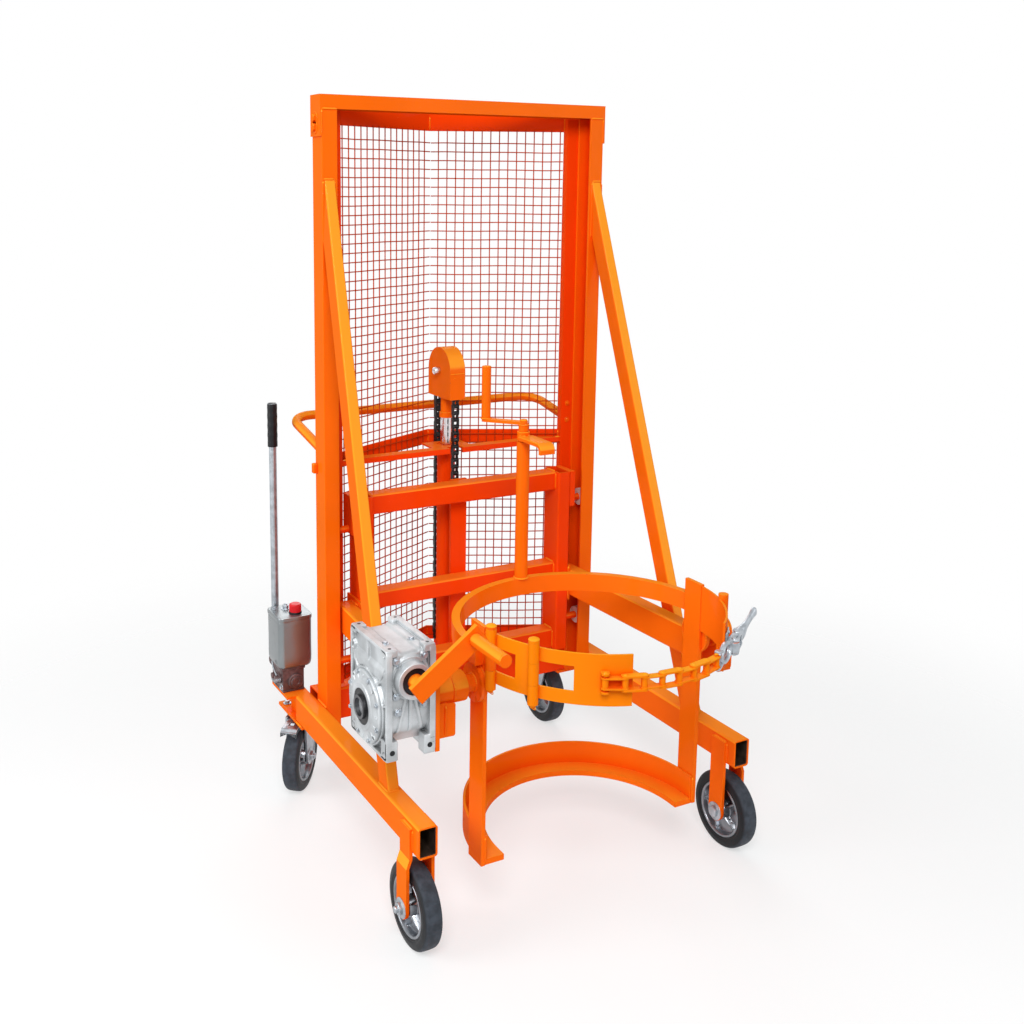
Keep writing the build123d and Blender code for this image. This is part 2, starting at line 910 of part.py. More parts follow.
# Filler cap
with BuildPart() as filler_cap:
    rod_z((tank_top, tank_top + cap_height), (pump_x + cap_radius, block_y - cap_radius), cap_radius)
keep("filler_cap", filler_cap.part)

# Pump lever with its grip
with BuildPart() as pump_lever:
    rod_x((lever_x - lever_socket_half, lever_x + lever_socket_half), (lever_y, lever_z), lever_socket)
    rod_z((lever_z, lever_top), (lever_x, lever_y), lever_radius)
    rod_z((lever_top - lever_grip_length, lever_top), (lever_x, lever_y), lever_grip_radius)
    rod_x(
        (lever_x - lever_socket_half, lever_x + lever_socket_half),
        (lever_y, lever_z),
        lever_pin + running_gap,
        mode=Mode.SUBTRACT,
    )
keep("pump_lever", pump_lever.part)

# Frame bolts, with the front axles
tab_middle = upright_top - tab_drop / 2
bolt_rows = (tab_middle - tab_bolt_spacing / 2, tab_middle + tab_bolt_spacing / 2)
with BuildPart() as frame_fasteners:
    for side, hand in sides:
        tab_face = side * (mast_half + tab_thick)
        for bolt_z in bolt_rows:
            bolt_x = (tab_face, tab_face + side * tab_bolt_height)
            rod_x(bolt_x, (channel_depth / 2, bolt_z), tab_bolt_radius)
        axle_in = side * (mast_half - fork_thick)
        axle_out = side * (fork_out_x + fork_thick)
        rod_x((axle_in, axle_out), (front_axle_y, wheel_radius), axle_radius)
        rod_x((axle_in - side * nut_height, axle_in), (front_axle_y, wheel_radius), nut_radius)
        rod_x((axle_out, axle_out + side * nut_height), (front_axle_y, wheel_radius), nut_radius)
keep("frame_fasteners", frame_fasteners.part)

# Carriage frame: two posts, three bars, the upper rollers' brackets and the rollers' pins
post_y = (carriage_post_front, carriage_back)
post_inside = carriage_half - carriage_post_width
post_tubes = [
    box_tube(
        level(carriage_bottom),
        (side * (carriage_half - carriage_post_width / 2), sum(post_y) / 2),
        carriage_post_width,
        post_y[1] - post_y[0],
        carriage_wall,
        carriage_corner,
        carriage_top - carriage_bottom,
    )
    for side, hand in sides
]
bar_levels = (
    (carriage_bottom, bottom_bar),
    (middle_bar_z, middle_bar),
    (carriage_top - upper_bar, upper_bar),
)
bar_tubes = [
    box_tube(
        side_plane(-post_inside),
        ((bar_front + bar_back) / 2, bar_z + bar_height / 2),
        bar_back - bar_front,
        bar_height,
        carriage_wall,
        carriage_corner,
        2 * post_inside,
    )
    for bar_z, bar_height in bar_levels
]
with BuildPart() as carriage_frame:
    for tube in post_tubes + bar_tubes:
        add(tube)
    for side, hand in sides:
        bracket_x = (side * carriage_half, side * (carriage_half + roller_bracket_reach))
        block(bracket_x, post_y, (upper_roller_z - roller_pin_radius, carriage_top))
        for pin_z in (lower_roller_z, upper_roller_z):
            pin_x = (side * carriage_half, side * (roller_x + roller_width / 2))
            rod_x(pin_x, (roller_y, pin_z), roller_pin_radius)
keep("carriage_frame", carriage_frame.part)

# Chain bar behind the carriage bars, with the chain's hook
with BuildPart() as chain_bar:
    block(
        (-chain_bar_half, chain_bar_half),
        (bar_back, bar_back + chain_bar_thick),
        (carriage_bottom, carriage_top),
    )
    block(
        (-chain_hook_half, chain_hook_half),
        (bar_back, front_strand + chain_thick / 2),
        (chain_hook_z, chain_hook_top),
    )
keep("chain_bar", chain_bar.part)

# Guide rollers, the pair on one line turning together
for roller_name, pin_z in (("upper_rollers", upper_roller_z), ("lower_rollers", lower_roller_z)):
    with BuildPart() as rollers:
        for side, hand in sides:
            across = (side * (roller_x - roller_width / 2), side * (roller_x + roller_width / 2))
            rod_x(across, (roller_y, pin_z), roller_radius)
            rod_x(across, (roller_y, pin_z), roller_pin_radius + running_gap, mode=Mode.SUBTRACT)
    keep(roller_name, rollers.part)

# Arms closed at the front, with their bearing tubes, the left one with the gearbox plate
arm_z = (arm_bottom, arm_bottom + arm_height)
for side, hand in sides:
    arm_tail = Vector(side * arm_tail_x, arm_tail_y, arm_bottom + arm_height / 2)
    nose_x = arm_front_x if hand == "left" else arm_front_x - right_arm_inset
    tube_end = tube_outer_x if hand == "left" else right_tube_outer_x
    arm_nose = Vector(side * nose_x, arm_front_y, arm_bottom + arm_height / 2)
    arm_run = arm_nose - arm_tail
    arm_plane = Plane(
        origin=arm_tail, x_dir=Vector(0, 0, 1).cross(arm_run).normalized(), z_dir=arm_run.normalized()
    )
    arm_tube = box_tube(arm_plane, (0, 0), arm_width, arm_height, arm_wall, arm_corner, arm_run.length)
    tube_x = (side * tube_inner_x, side * tube_end)
    with BuildPart() as arm:
        add(arm_tube)
        with BuildSketch(arm_plane.offset(arm_run.length - arm_wall)):
            RectangleRounded(arm_width, arm_height, arm_corner)
        extrude(amount=arm_wall)
        block(
            (side * carriage_half, side * (carriage_half + arm_plate)),
            post_y,
            (arm_z[0] - arm_plate_extra, arm_z[1] + arm_plate_extra),
        )
        block(
            (side * nose_x, tube_x[1]),
            (tilt_y - tube_radius, tilt_y + tube_radius),
            (arm_z[0], tilt_z - tube_radius / 2),
        )
        rod_x(tube_x, (tilt_y, tilt_z), tube_radius)
        if hand == "left":
            block(
                (-tube_outer_x, gearbox_right),
                (gearbox_front, gearbox_back),
                (gearbox_bottom, gearbox_top - gearbox_plate_drop),
            )
        rod_x(
            (tube_x[0], tube_x[1] + side * gearbox_plate),
            (tilt_y, tilt_z),
            trunnion_radius + running_gap,
            mode=Mode.SUBTRACT,
        )
    keep(hand + "_arm", arm.part)

# Gearbox housing: a hollow casting between two square flanges
gear_chamber = worm_wheel_radius + gear_clear
worm_chamber = worm_radius + gear_clear
chamber_right = gearbox_x + worm_wheel_width / 2 + gear_clear
body_y = (gearbox_front + gearbox_inset, gearbox_back - gearbox_inset)
body_z = (gearbox_bottom + 2 * gearbox_inset, gearbox_top - gearbox_inset)
worm_y = (tilt_y - worm_half, tilt_y + worm_half)
boss_front = gearbox_front - input_boss
with BuildPart() as gearbox_housing:
    for flange_x in (gearbox_left, gearbox_right - gearbox_flange):
        with BuildSketch(side_plane(flange_x)):
            with Locations(((gearbox_front + gearbox_back) / 2, (gearbox_bottom + gearbox_top) / 2)):
                RectangleRounded(gearbox_back - gearbox_front, gearbox_top - gearbox_bottom, gearbox_round)
        extrude(amount=gearbox_flange)
    with BuildSketch(side_plane(gearbox_left)):
        with BuildLine():
            Polyline(
                (body_y[0], body_z[1]),
                (body_y[1], body_z[1]),
                (body_y[1], body_z[0] + gearbox_cut),
                (body_y[1] - gearbox_cut, body_z[0]),
                (body_y[0] + gearbox_cut, body_z[0]),
                (body_y[0], body_z[0] + gearbox_cut),
                close=True,
            )
        make_face()
    extrude(amount=gearbox_width)
    rod_y((boss_front, body_y[0] + gearbox_inset), (gearbox_x, worm_z), input_boss_radius)
    rod_x((gearbox_left, chamber_right), (tilt_y, tilt_z), gear_chamber, mode=Mode.SUBTRACT)
    rod_y(
        (worm_y[0] - gear_clear, worm_y[1] + gear_clear),
        (gearbox_x, worm_z),
        worm_chamber,
        mode=Mode.SUBTRACT,
    )
    rod_y((boss_front, worm_y[0]), (gearbox_x, worm_z), input_radius + running_gap, mode=Mode.SUBTRACT)
    rod_x(
        (chamber_right, gearbox_right),
        (tilt_y, tilt_z),
        hollow_shaft_radius + running_gap,
        mode=Mode.SUBTRACT,
    )
keep("gearbox_housing", gearbox_housing.part)

# Gearbox cover with its bolt holes
cover_inside = gearbox_x - worm_wheel_width / 2 - gear_clear
cover_face = gearbox_left - cover_flange
with BuildPart() as gearbox_cover:
    rod_x((cover_face, gearbox_left), (tilt_y, tilt_z), cover_radius)
    rod_x((gearbox_left, cover_inside), (tilt_y, tilt_z), gear_chamber - running_gap)
    rod_x((cover_face - cover_ring, cover_face), (tilt_y, tilt_z), cover_ring_radius)
    rod_x(
        (cover_face - cover_ring, cover_inside),
        (tilt_y, tilt_z),
        hollow_shaft_radius + running_gap,
        mode=Mode.SUBTRACT,
    )
    with BuildSketch(side_plane(cover_face)):
        with Locations((tilt_y, tilt_z)):
            with PolarLocations(cover_bolt_spread / 2, cover_bolts, start_angle=180 / cover_bolts):
                Circle(cover_bolt_hole)
    extrude(amount=cover_flange, mode=Mode.SUBTRACT)
keep("gearbox_cover", gearbox_cover.part)

# Worm wheel on its hollow shaft, drawn at its pitch size
hollow_left = cover_face - cover_ring - hollow_shaft_reach
with BuildPart() as worm_wheel:
    rod_x(
        (gearbox_x - worm_wheel_width / 2, gearbox_x + worm_wheel_width / 2),
        (tilt_y, tilt_z),
        worm_wheel_radius,
    )
    rod_x((hollow_left, gearbox_right), (tilt_y, tilt_z), hollow_shaft_radius)
    rod_x((hollow_left, gearbox_right), (tilt_y, tilt_z), trunnion_radius, mode=Mode.SUBTRACT)
keep("worm_wheel", worm_wheel.part)

# Worm shaft, drawn at its pitch size
with BuildPart() as worm_shaft:
    rod_y(worm_y, (gearbox_x, worm_z), worm_radius)
    rod_y((crank_y, worm_y[1]), (gearbox_x, worm_z), input_radius)
keep("worm_shaft", worm_shaft.part)

# Crank arm with the grip's pin
crank_turn = math.radians(crank_angle)
grip_x = gearbox_x + crank_radius * math.cos(crank_turn)
grip_z = worm_z + crank_radius * math.sin(crank_turn)
crank_front = crank_y - crank_thick
grip_back = crank_front - face_gap
grip_front = grip_back - grip_length
with BuildPart() as crank_arm:
    with BuildSketch(front_plane(crank_y)):
        with Locations(((gearbox_x + grip_x) / 2, (worm_z + grip_z) / 2)):
            Rectangle(crank_radius + crank_width, crank_width, rotation=crank_angle)
    extrude(amount=crank_thick)
    rod_y((grip_front - face_gap - grip_end, crank_front), (grip_x, grip_z), crank_pin_radius)
    rod_y((grip_front - face_gap - grip_end, grip_front - face_gap), (grip_x, grip_z), grip_radius)
keep("crank_arm", crank_arm.part)

# Crank grip that turns on its pin
with BuildPart() as crank_grip:
    rod_y((grip_front, grip_back), (grip_x, grip_z), grip_radius)
    rod_y((grip_front, grip_back), (grip_x, grip_z), crank_pin_radius + running_gap, mode=Mode.SUBTRACT)
keep("crank_grip", crank_grip.part)

# Tilt shaft from the gearbox to the left post
with BuildPart() as tilt_shaft:
    rod_x((hollow_left + shaft_end_inset, -post_outer), (tilt_y, tilt_z), trunnion_radius)
    rod_x((-post_outer - trunnion_flange, -post_outer), (tilt_y, tilt_z), trunnion_flange_radius)
keep("tilt_shaft", tilt_shaft.part)

# Left post with the first hinge's middle knuckle and pin
post_edge = tilt_y - post_depth / 2
first_spot = round_drum(hinge_circle, first_hinge_angle)
second_spot = round_drum(hinge_circle, second_hinge_angle)
with BuildPart() as left_holder_post:
    block((-post_outer, -post_inner), (post_edge, tilt_y + post_depth / 2), (post_bottom, post_top))
    block((-post_outer, -post_inner), (first_spot[1], post_edge), (hinge_split_low, hinge_split_high))
    rod_z((hinge_split_low, hinge_split_high), first_spot, hinge_radius)
    rod_z((hinge_bottom, hinge_top + face_gap), first_spot, hinge_pin)
    rod_z((hinge_top + face_gap, hinge_top + face_gap + hinge_cap), first_spot, hinge_radius)
keep("left_holder_post", left_holder_post.part)

# Right post with its trunnion, the wing that carries the latch, and the latch's boss and pin
latch_spot = round_drum(latch_circle, latch_angle)
boss_z = (clamp_z - latch_boss_half, clamp_z + latch_boss_half)
boss_turn = math.degrees(latch_boss / latch_circle)
wing_plate = ring_part(band_inner, band_outer, wing_start_angle, wing_end_angle, band_bottom, band_height)
latch_foot = ring_part(
    band_inner,
    latch_circle,
    latch_angle - boss_turn,
    latch_angle + boss_turn,
    boss_z[0],
    2 * latch_boss_half,
)
cheek_outer = latch_boss_half + face_gap + cheek_thick
with BuildPart() as right_holder_post:
    block((post_inner, post_outer), (post_edge, tilt_y + post_depth / 2), (post_bottom, post_top))
    rod_x((post_outer, post_outer + trunnion_length), (tilt_y, tilt_z), trunnion_radius)
    rod_x((post_outer, post_outer + trunnion_flange), (tilt_y, tilt_z), trunnion_flange_radius)
    add(wing_plate)
    rod_z((hinge_bottom, hinge_top), round_drum(hinge_circle, wing_barrel_angle), hinge_radius)
    add(latch_foot)
    rod_z(boss_z, latch_spot, latch_boss)
    rod_z((clamp_z - cheek_outer, clamp_z + cheek_outer), latch_spot, latch_pin)
keep("right_holder_post", right_holder_post.part)

# Rings round the back of the drum, with straight ends along the posts
upper_ring_outer = upper_ring_inner + upper_ring_thick
upper_arc = ring_part(upper_ring_inner, upper_ring_outer, 0, 180, upper_ring_z, upper_ring_height)
lower_arc = ring_part(cradle_radius, post_inner, 0, 180, post_bottom, lower_ring_height)
with BuildPart() as upper_ring:
    add(upper_arc)
    for side, hand in sides:
        block(
            (side * post_outer, side * upper_ring_outer),
            (tilt_y - ring_leg, tilt_y),
            (upper_ring_z, upper_ring_z + upper_ring_height),
        )
keep("upper_ring", upper_ring.part)

ledge_arc = ring_part(cradle_radius - ledge_reach, post_inner, 0, 180, post_bottom, ledge_thick)
with BuildPart() as lower_ring:
    add(lower_arc)
    add(ledge_arc)
    for side, hand in sides:
        block(
            (side * cradle_radius, side * post_inner),
            (tilt_y - ring_leg, tilt_y),
            (post_bottom, post_bottom + lower_ring_height),
        )
        block(
            (side * (cradle_radius - ledge_reach), side * post_inner),
            (tilt_y - ring_leg, tilt_y),
            (post_bottom, post_bottom + ledge_thick),
        )
keep("lower_ring", lower_ring.part)

# Inner band from the left post to the second hinge
hinge_low = (hinge_bottom, hinge_split_low - face_gap)
hinge_high = (hinge_split_high + face_gap, hinge_top)
band_clear = hinge_radius + face_gap
inner_plate = ring_part(
    band_inner, band_outer, first_hinge_angle, second_hinge_angle, band_bottom, band_height
)
inner_window = ring_part(
    band_inner,
    hinge_circle,
    first_hinge_angle,
    first_hinge_angle + first_window_angle,
    window_bottom,
    window_height,
)
with BuildPart() as inner_band:
    add(inner_plate)
    add(inner_window, mode=Mode.SUBTRACT)
    for knuckle in (hinge_low, hinge_high):
        rod_z(knuckle, first_spot, hinge_radius)
        rod_z(knuckle, first_spot, hinge_pin + running_gap, mode=Mode.SUBTRACT)
        rod_z((knuckle[0] - face_gap, knuckle[1] + face_gap), second_spot, band_clear, mode=Mode.SUBTRACT)
    rod_z((hinge_split_low, hinge_split_high), second_spot, hinge_radius)
    rod_z((hinge_bottom, hinge_top + face_gap), second_spot, hinge_pin)
    rod_z((hinge_top + face_gap, hinge_top + face_gap + hinge_cap), second_spot, hinge_radius)
keep("inner_band", inner_band.part)

# Outer band from the second hinge to the clamp chain
chain_spot = round_drum(chain_circle, link_start_angle)
ear_spread = math.degrees(link_half_width / chain_circle)
ear_angles = (link_start_angle - ear_spread, link_start_angle + ear_spread)
outer_plate = ring_part(
    band_inner, band_outer, second_hinge_angle, band_end_angle, band_bottom, band_height
)
outer_window = ring_part(
    band_inner,
    hinge_circle,
    second_hinge_angle,
    second_hinge_angle + second_window_angle,
    window_bottom,
    window_height,
)
ear_levels = (clamp_z + outer_link + face_gap, clamp_z - outer_link - face_gap - ear_thick)
ear_feet = [
    ring_part(band_inner, chain_circle, ear_angles[0], ear_angles[1], ear_z, ear_thick)
    for ear_z in ear_levels
]
with BuildPart() as outer_band:
    add(outer_plate)
    add(outer_window, mode=Mode.SUBTRACT)
    for knuckle in (hinge_low, hinge_high):
        rod_z(knuckle, second_spot, hinge_radius)
        rod_z(knuckle, second_spot, hinge_pin + running_gap, mode=Mode.SUBTRACT)
    for ear_foot, ear_z in zip(ear_feet, ear_levels):
        add(ear_foot)
        rod_z((ear_z, ear_z + ear_thick), chain_spot, link_half_width)
        rod_z((ear_z, ear_z + ear_thick), chain_spot, link_pin + running_gap, mode=Mode.SUBTRACT)
keep("outer_band", outer_band.part)

# Clamp chain of rollers and paired link plates
link_spots = [round_drum(chain_circle, link_start_angle + link_step * n) for n in range(link_count + 1)]
link_plates = []
for n in range(link_count):
    near = roller_half if n % 2 == 0 else inner_link
    far = inner_link if n % 2 == 0 else outer_link
    for plate_z in (clamp_z + near, clamp_z - far):
        link_plates.append(strip(link_spots[n], link_spots[n + 1], link_half_width, plate_z, far - near))
first_pin = outer_link + face_gap + ear_thick
with BuildPart() as clamp_chain:
    for plate in link_plates:
        add(plate)
    for spot in link_spots:
        rod_z((clamp_z - roller_half, clamp_z + roller_half), spot, link_roller)
        rod_z((clamp_z - outer_link, clamp_z + outer_link), spot, link_pin)
    rod_z((clamp_z - first_pin, clamp_z + first_pin), link_spots[0], link_pin)
keep("clamp_chain", clamp_chain.part)

# Latch lever, a forked handle on the latch's pin
latch_turn = math.radians(latch_angle)
lever_way = (-math.sin(latch_turn), math.cos(latch_turn))
throw_spot = (latch_spot[0] + latch_throw * lever_way[0], latch_spot[1] + latch_throw * lever_way[1])
lever_root = (
    latch_spot[0] + lever_root_reach * lever_way[0],
    latch_spot[1] + lever_root_reach * lever_way[1],
)
grip_turn = math.radians(latch_angle - lever_flare_angle)
grip_lift = math.radians(lever_lift_angle)
grip_way = Vector(
    -math.sin(grip_turn) * math.cos(grip_lift),
    math.cos(grip_turn) * math.cos(grip_lift),
    math.sin(grip_lift),
)
grip_plane = Plane(
    origin=(*lever_root, clamp_z), x_dir=grip_way, z_dir=(math.cos(grip_turn), math.sin(grip_turn), 0)
)
cheek_inner = latch_boss_half + face_gap
lever_cheeks = [
    strip(latch_spot, lever_root, cheek_half_width, cheek_z, cheek_thick)
    for cheek_z in (clamp_z + cheek_inner, clamp_z - cheek_outer)
]
cheek_limits = (clamp_z - cheek_outer, clamp_z + cheek_outer)
with BuildPart() as latch_lever:
    for cheek in lever_cheeks:
        add(cheek)
    with BuildSketch(grip_plane):
        with Locations((lever_length / 2, 0)):
            SlotCenterToCenter(lever_length, 2 * lever_half_height)
    extrude(amount=lever_half_width, both=True)
    rod_z(cheek_limits, latch_spot, latch_pin + running_gap, mode=Mode.SUBTRACT)
    rod_z(cheek_limits, throw_spot, hinge_pin + running_gap, mode=Mode.SUBTRACT)
keep("latch_lever", latch_lever.part)

# Latch hook: two plates on one pin that reach over the chain's last roller
hook_inner = cheek_outer + hook_gap
hook_outer = hook_inner + hook_thick
hook_plates = [
    strip(throw_spot, link_spots[-1], hook_half_width, hook_z, hook_thick)
    for hook_z in (clamp_z + hook_inner, clamp_z - hook_outer)
]
with BuildPart() as latch_hook:
    for plate in hook_plates:
        add(plate)
    rod_z((clamp_z - hook_outer, clamp_z + hook_outer), throw_spot, hinge_pin)
keep("latch_hook", latch_hook.part)

# Rim post on the upper ring
rim_spot = (0, rim_y)
rim_foot = upper_ring_z + upper_ring_height
rim_screw_end = rim_hub_top - rim_screw_length
with BuildPart() as rim_post:
    rod_z((rim_foot, rim_post_top), rim_spot, rim_post_radius)
    rod_z((rim_screw_end, rim_post_top), rim_spot, rim_screw + running_gap, mode=Mode.SUBTRACT)
keep("rim_post", rim_post.part)

# Rim hook over the drum's edge
hook_end = rim_y - rim_hook_reach
hook_top = drum_base + drum_height + rim_hook_thick
with BuildPart() as rim_hook:
    block(
        (-rim_hub_half, rim_hub_half),
        (rim_y - rim_hub_half, rim_y + rim_hub_half),
        (rim_hub_bottom, rim_hub_top),
    )
    block(
        (-rim_hook_width / 2, rim_hook_width / 2),
        (hook_end, rim_y),
        (hook_top - rim_hook_thick, hook_top),
    )
    block(
        (-rim_hook_width / 2, rim_hook_width / 2),
        (hook_end, hook_end + rim_hook_tip),
        (hook_top - rim_hook_thick - rim_hook_drop, hook_top),
    )
    rod_z((rim_hub_bottom, rim_hub_top), rim_spot, rim_screw + running_gap, mode=Mode.SUBTRACT)
keep("rim_hook", rim_hook.part)

# Rim screw with its crank and handle, the crank set back from the hook
rim_neck_z = rim_hub_top + face_gap
rim_arm_z = rim_neck_z + rim_neck_height
rim_arm_top = rim_arm_z + rim_arm_thick
arm_turn = math.radians(rim_arm_angle)
arm_way = (math.cos(arm_turn), math.sin(arm_turn))
arm_end = (rim_arm_length * arm_way[0], rim_y + rim_arm_length * arm_way[1])
with BuildPart() as rim_screw_crank:
    rod_z((rim_screw_end, rim_neck_z), rim_spot, rim_screw)
    rod_z((rim_neck_z, rim_arm_z), rim_spot, rim_neck_radius)
    with BuildSketch(level(rim_arm_z)):
        with Locations((arm_end[0] / 2, (rim_y + arm_end[1]) / 2)):
            SlotCenterToCenter(rim_arm_length, 2 * rim_arm_half, rotation=rim_arm_angle)
    extrude(amount=rim_arm_thick)
    rod_z((rim_arm_top, rim_arm_top + rim_handle_height), arm_end, rim_handle_radius)
keep("rim_crank", rim_screw_crank.part)

# Wheels: a hub with a rim, a web and a boss, and a tyre
wheel_spots = (
    ("front", front_wheel_x, front_axle_y),
    ("rear", swivel_x, caster_axle_y),
)
half_tyre = tyre_width / 2
caster_turns = {"left": left_caster_turn, "right": 0.0}
caster_swing = {
    hand: Location((side * swivel_x, swivel_y, 0), (0, 0, caster_turns[hand]))
    * Location((-side * swivel_x, -swivel_y, 0))
    for side, hand in sides
}
for side, hand in sides:
    for place, wheel_x, wheel_y in wheel_spots:
        centre = (wheel_y, wheel_radius)
        wheel_middle = side * wheel_x
        name = place + "_" + hand
        stand = caster_swing[hand] if place == "rear" else Location()
        with BuildPart() as hub:
            rod_x((wheel_middle - half_tyre, wheel_middle + half_tyre), centre, hub_radius)
            for face in (-1, 1):
                rod_x(
                    (wheel_middle + face * hub_web / 2, wheel_middle + face * half_tyre),
                    centre,
                    hub_radius - hub_rim,
                    mode=Mode.SUBTRACT,
                )
            hub_half = half_tyre + hub_overhang - face_gap if place == "front" else half_tyre
            rod_x((wheel_middle - hub_half, wheel_middle + hub_half), centre, hub_boss)
            rod_x(
                (wheel_middle - hub_half, wheel_middle + hub_half),
                centre,
                axle_radius + running_gap,
                mode=Mode.SUBTRACT,
            )
        keep(name + "_hub", hub.part.moved(stand))
        with BuildPart() as tyre:
            rod_x((wheel_middle - half_tyre, wheel_middle + half_tyre), centre, wheel_radius)
            fillet(tyre.edges().filter_by(GeomType.CIRCLE), tyre_round)
            rod_x(
                (wheel_middle - half_tyre, wheel_middle + half_tyre),
                centre,
                hub_radius,
                mode=Mode.SUBTRACT,
            )
        keep(name + "_tyre", tyre.part.moved(stand))

# Caster forks with king pin, axle and pedal pin
cheek_in = half_tyre + cheek_gap
cheek_out = cheek_in + caster_cheek
crown_bottom = 2 * wheel_radius + crown_gap
race_top = leg_clear - caster_plate - face_gap
crown_top = race_top - race_height
pedal_y = swivel_y + pedal_offset
pedal_z = crown_bottom + pedal_barrel + face_gap
with BuildPart() as fork:
    block(
        (-cheek_out, cheek_out),
        (swivel_y - race_radius, pedal_y - 2 * pedal_barrel),
        (crown_bottom, crown_top),
    )
    for face in (-1, 1):
        cheek_x = (face * cheek_in, face * cheek_out)
        with BuildSketch(side_plane(min(cheek_x))):
            with BuildLine():
                Polyline(
                    (swivel_y - race_radius, crown_top),
                    (pedal_y + pedal_barrel, crown_top),
                    (pedal_y + pedal_barrel, crown_bottom),
                    (caster_axle_y + caster_cheek_half, wheel_radius),
                    (caster_axle_y - caster_cheek_half, wheel_radius),
                    (swivel_y - race_radius, crown_bottom),
                    close=True,
                )
            make_face()
        extrude(amount=caster_cheek)
        rod_x(cheek_x, (caster_axle_y, wheel_radius), caster_cheek_half)
    rod_z((crown_top, race_top), (0, swivel_y), race_radius)
    rod_z((race_top, leg_clear), (0, swivel_y), king_pin_radius)
    rod_x((-cheek_out, cheek_out), (caster_axle_y, wheel_radius), axle_radius)
    rod_x((-cheek_out, cheek_out), (pedal_y, pedal_z), pedal_pin)
    for face in (-1, 1):
        rod_x(
            (face * cheek_out, face * (cheek_out + nut_height)),
            (caster_axle_y, wheel_radius),
            nut_radius,
        )
pedal_half = cheek_in - cheek_gap
with BuildPart() as pedal:
    rod_x((-pedal_half, pedal_half), (pedal_y, pedal_z), pedal_barrel)
    block(
        (-pedal_half, pedal_half),
        (pedal_y, pedal_y + pedal_length),
        (pedal_z, pedal_z + pedal_thick),
    )
    rod_x(
        (-pedal_half, pedal_half),
        (pedal_y, pedal_z),
        pedal_pin + running_gap,
        mode=Mode.SUBTRACT,
    )
for side, hand in sides:
    under_leg = caster_swing[hand] * Location((side * swivel_x, 0, 0))
    keep(hand + "_caster_fork", fork.part.moved(under_leg))
    keep(hand + "_brake_pedal", pedal.part.moved(under_leg))

# The origin goes to the middle of the whole trolley's base
boxes = [part.bounding_box() for part in kept.values()]
middle_x = (min(box.min.X for box in boxes) + max(box.max.X for box in boxes)) / 2
middle_y = (min(box.min.Y for box in boxes) + max(box.max.Y for box in boxes)) / 2
floor_z = min(box.min.Z for box in boxes)
os.makedirs("parts", exist_ok=True)
for part_name, part in kept.items():
    export_step(part.moved(Location((-middle_x, -middle_y, -floor_z))), "parts/" + part_name + ".step")
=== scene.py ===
"""Looks of a drum trolley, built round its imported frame.

Points are worked out in millimetres from the mast's foot: X to the right seen from the cradle's side,
Y back to the operator, Z up, and are put into the frame's metres when a mesh is made.
"""

import math

import bmesh
import bpy
import numpy as np
from bpy.props import FloatProperty, FloatVectorProperty, IntProperty, PointerProperty
from mathutils import Matrix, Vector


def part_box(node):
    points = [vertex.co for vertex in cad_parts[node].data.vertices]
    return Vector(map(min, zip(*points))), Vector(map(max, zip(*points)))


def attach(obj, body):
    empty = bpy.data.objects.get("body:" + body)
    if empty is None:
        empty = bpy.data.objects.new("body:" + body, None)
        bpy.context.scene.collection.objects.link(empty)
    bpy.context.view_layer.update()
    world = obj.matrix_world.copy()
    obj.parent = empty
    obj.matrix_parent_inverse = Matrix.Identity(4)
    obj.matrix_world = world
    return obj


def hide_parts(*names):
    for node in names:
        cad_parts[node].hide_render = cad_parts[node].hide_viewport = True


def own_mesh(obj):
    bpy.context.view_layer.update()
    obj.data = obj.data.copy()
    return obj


bl_info = {
    "name": "Drum trolley",
    "version": (1, 0, 0),
    "blender": (4, 5, 0),
    "location": "View3D > Sidebar > Trolley",
    "description": "Dresses the frame of a drum trolley with its finishes and finer pieces",
    "category": "Add Mesh",
}

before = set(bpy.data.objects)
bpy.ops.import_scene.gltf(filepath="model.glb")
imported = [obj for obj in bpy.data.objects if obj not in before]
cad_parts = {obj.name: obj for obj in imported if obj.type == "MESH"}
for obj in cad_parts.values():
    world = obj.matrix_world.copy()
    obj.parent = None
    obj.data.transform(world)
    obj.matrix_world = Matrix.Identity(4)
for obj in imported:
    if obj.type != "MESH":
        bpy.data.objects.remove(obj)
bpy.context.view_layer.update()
PER_METRE = 1000.0
TURN = 2 * math.pi
HANDS = (("left", -1.0), ("right", 1.0))
beam_low, beam_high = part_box("top_beam")
MAST = np.array([(beam_low.x + beam_high.x) / 2, beam_low.y, 0.0])


def limits(node):
    """A node's lowest and highest corners, in millimetres from the mast's foot."""
    low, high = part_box(node)
    return (np.array(low) - MAST) * PER_METRE, (np.array(high) - MAST) * PER_METRE


def middle(node):
    """The middle of a node's box."""
    low, high = limits(node)
    return (low + high) / 2


def low_of(node):
    """A node's lowest corner to a tenth of a millimetre."""
    return np.round(limits(node)[0], 1).tolist()


def high_of(node):
    """A node's highest corner to a tenth of a millimetre."""
    return np.round(limits(node)[1], 1).tolist()


def middle_of(node):
    """A node's middle to a tenth of a millimetre."""
    return np.round(middle(node), 1).tolist()


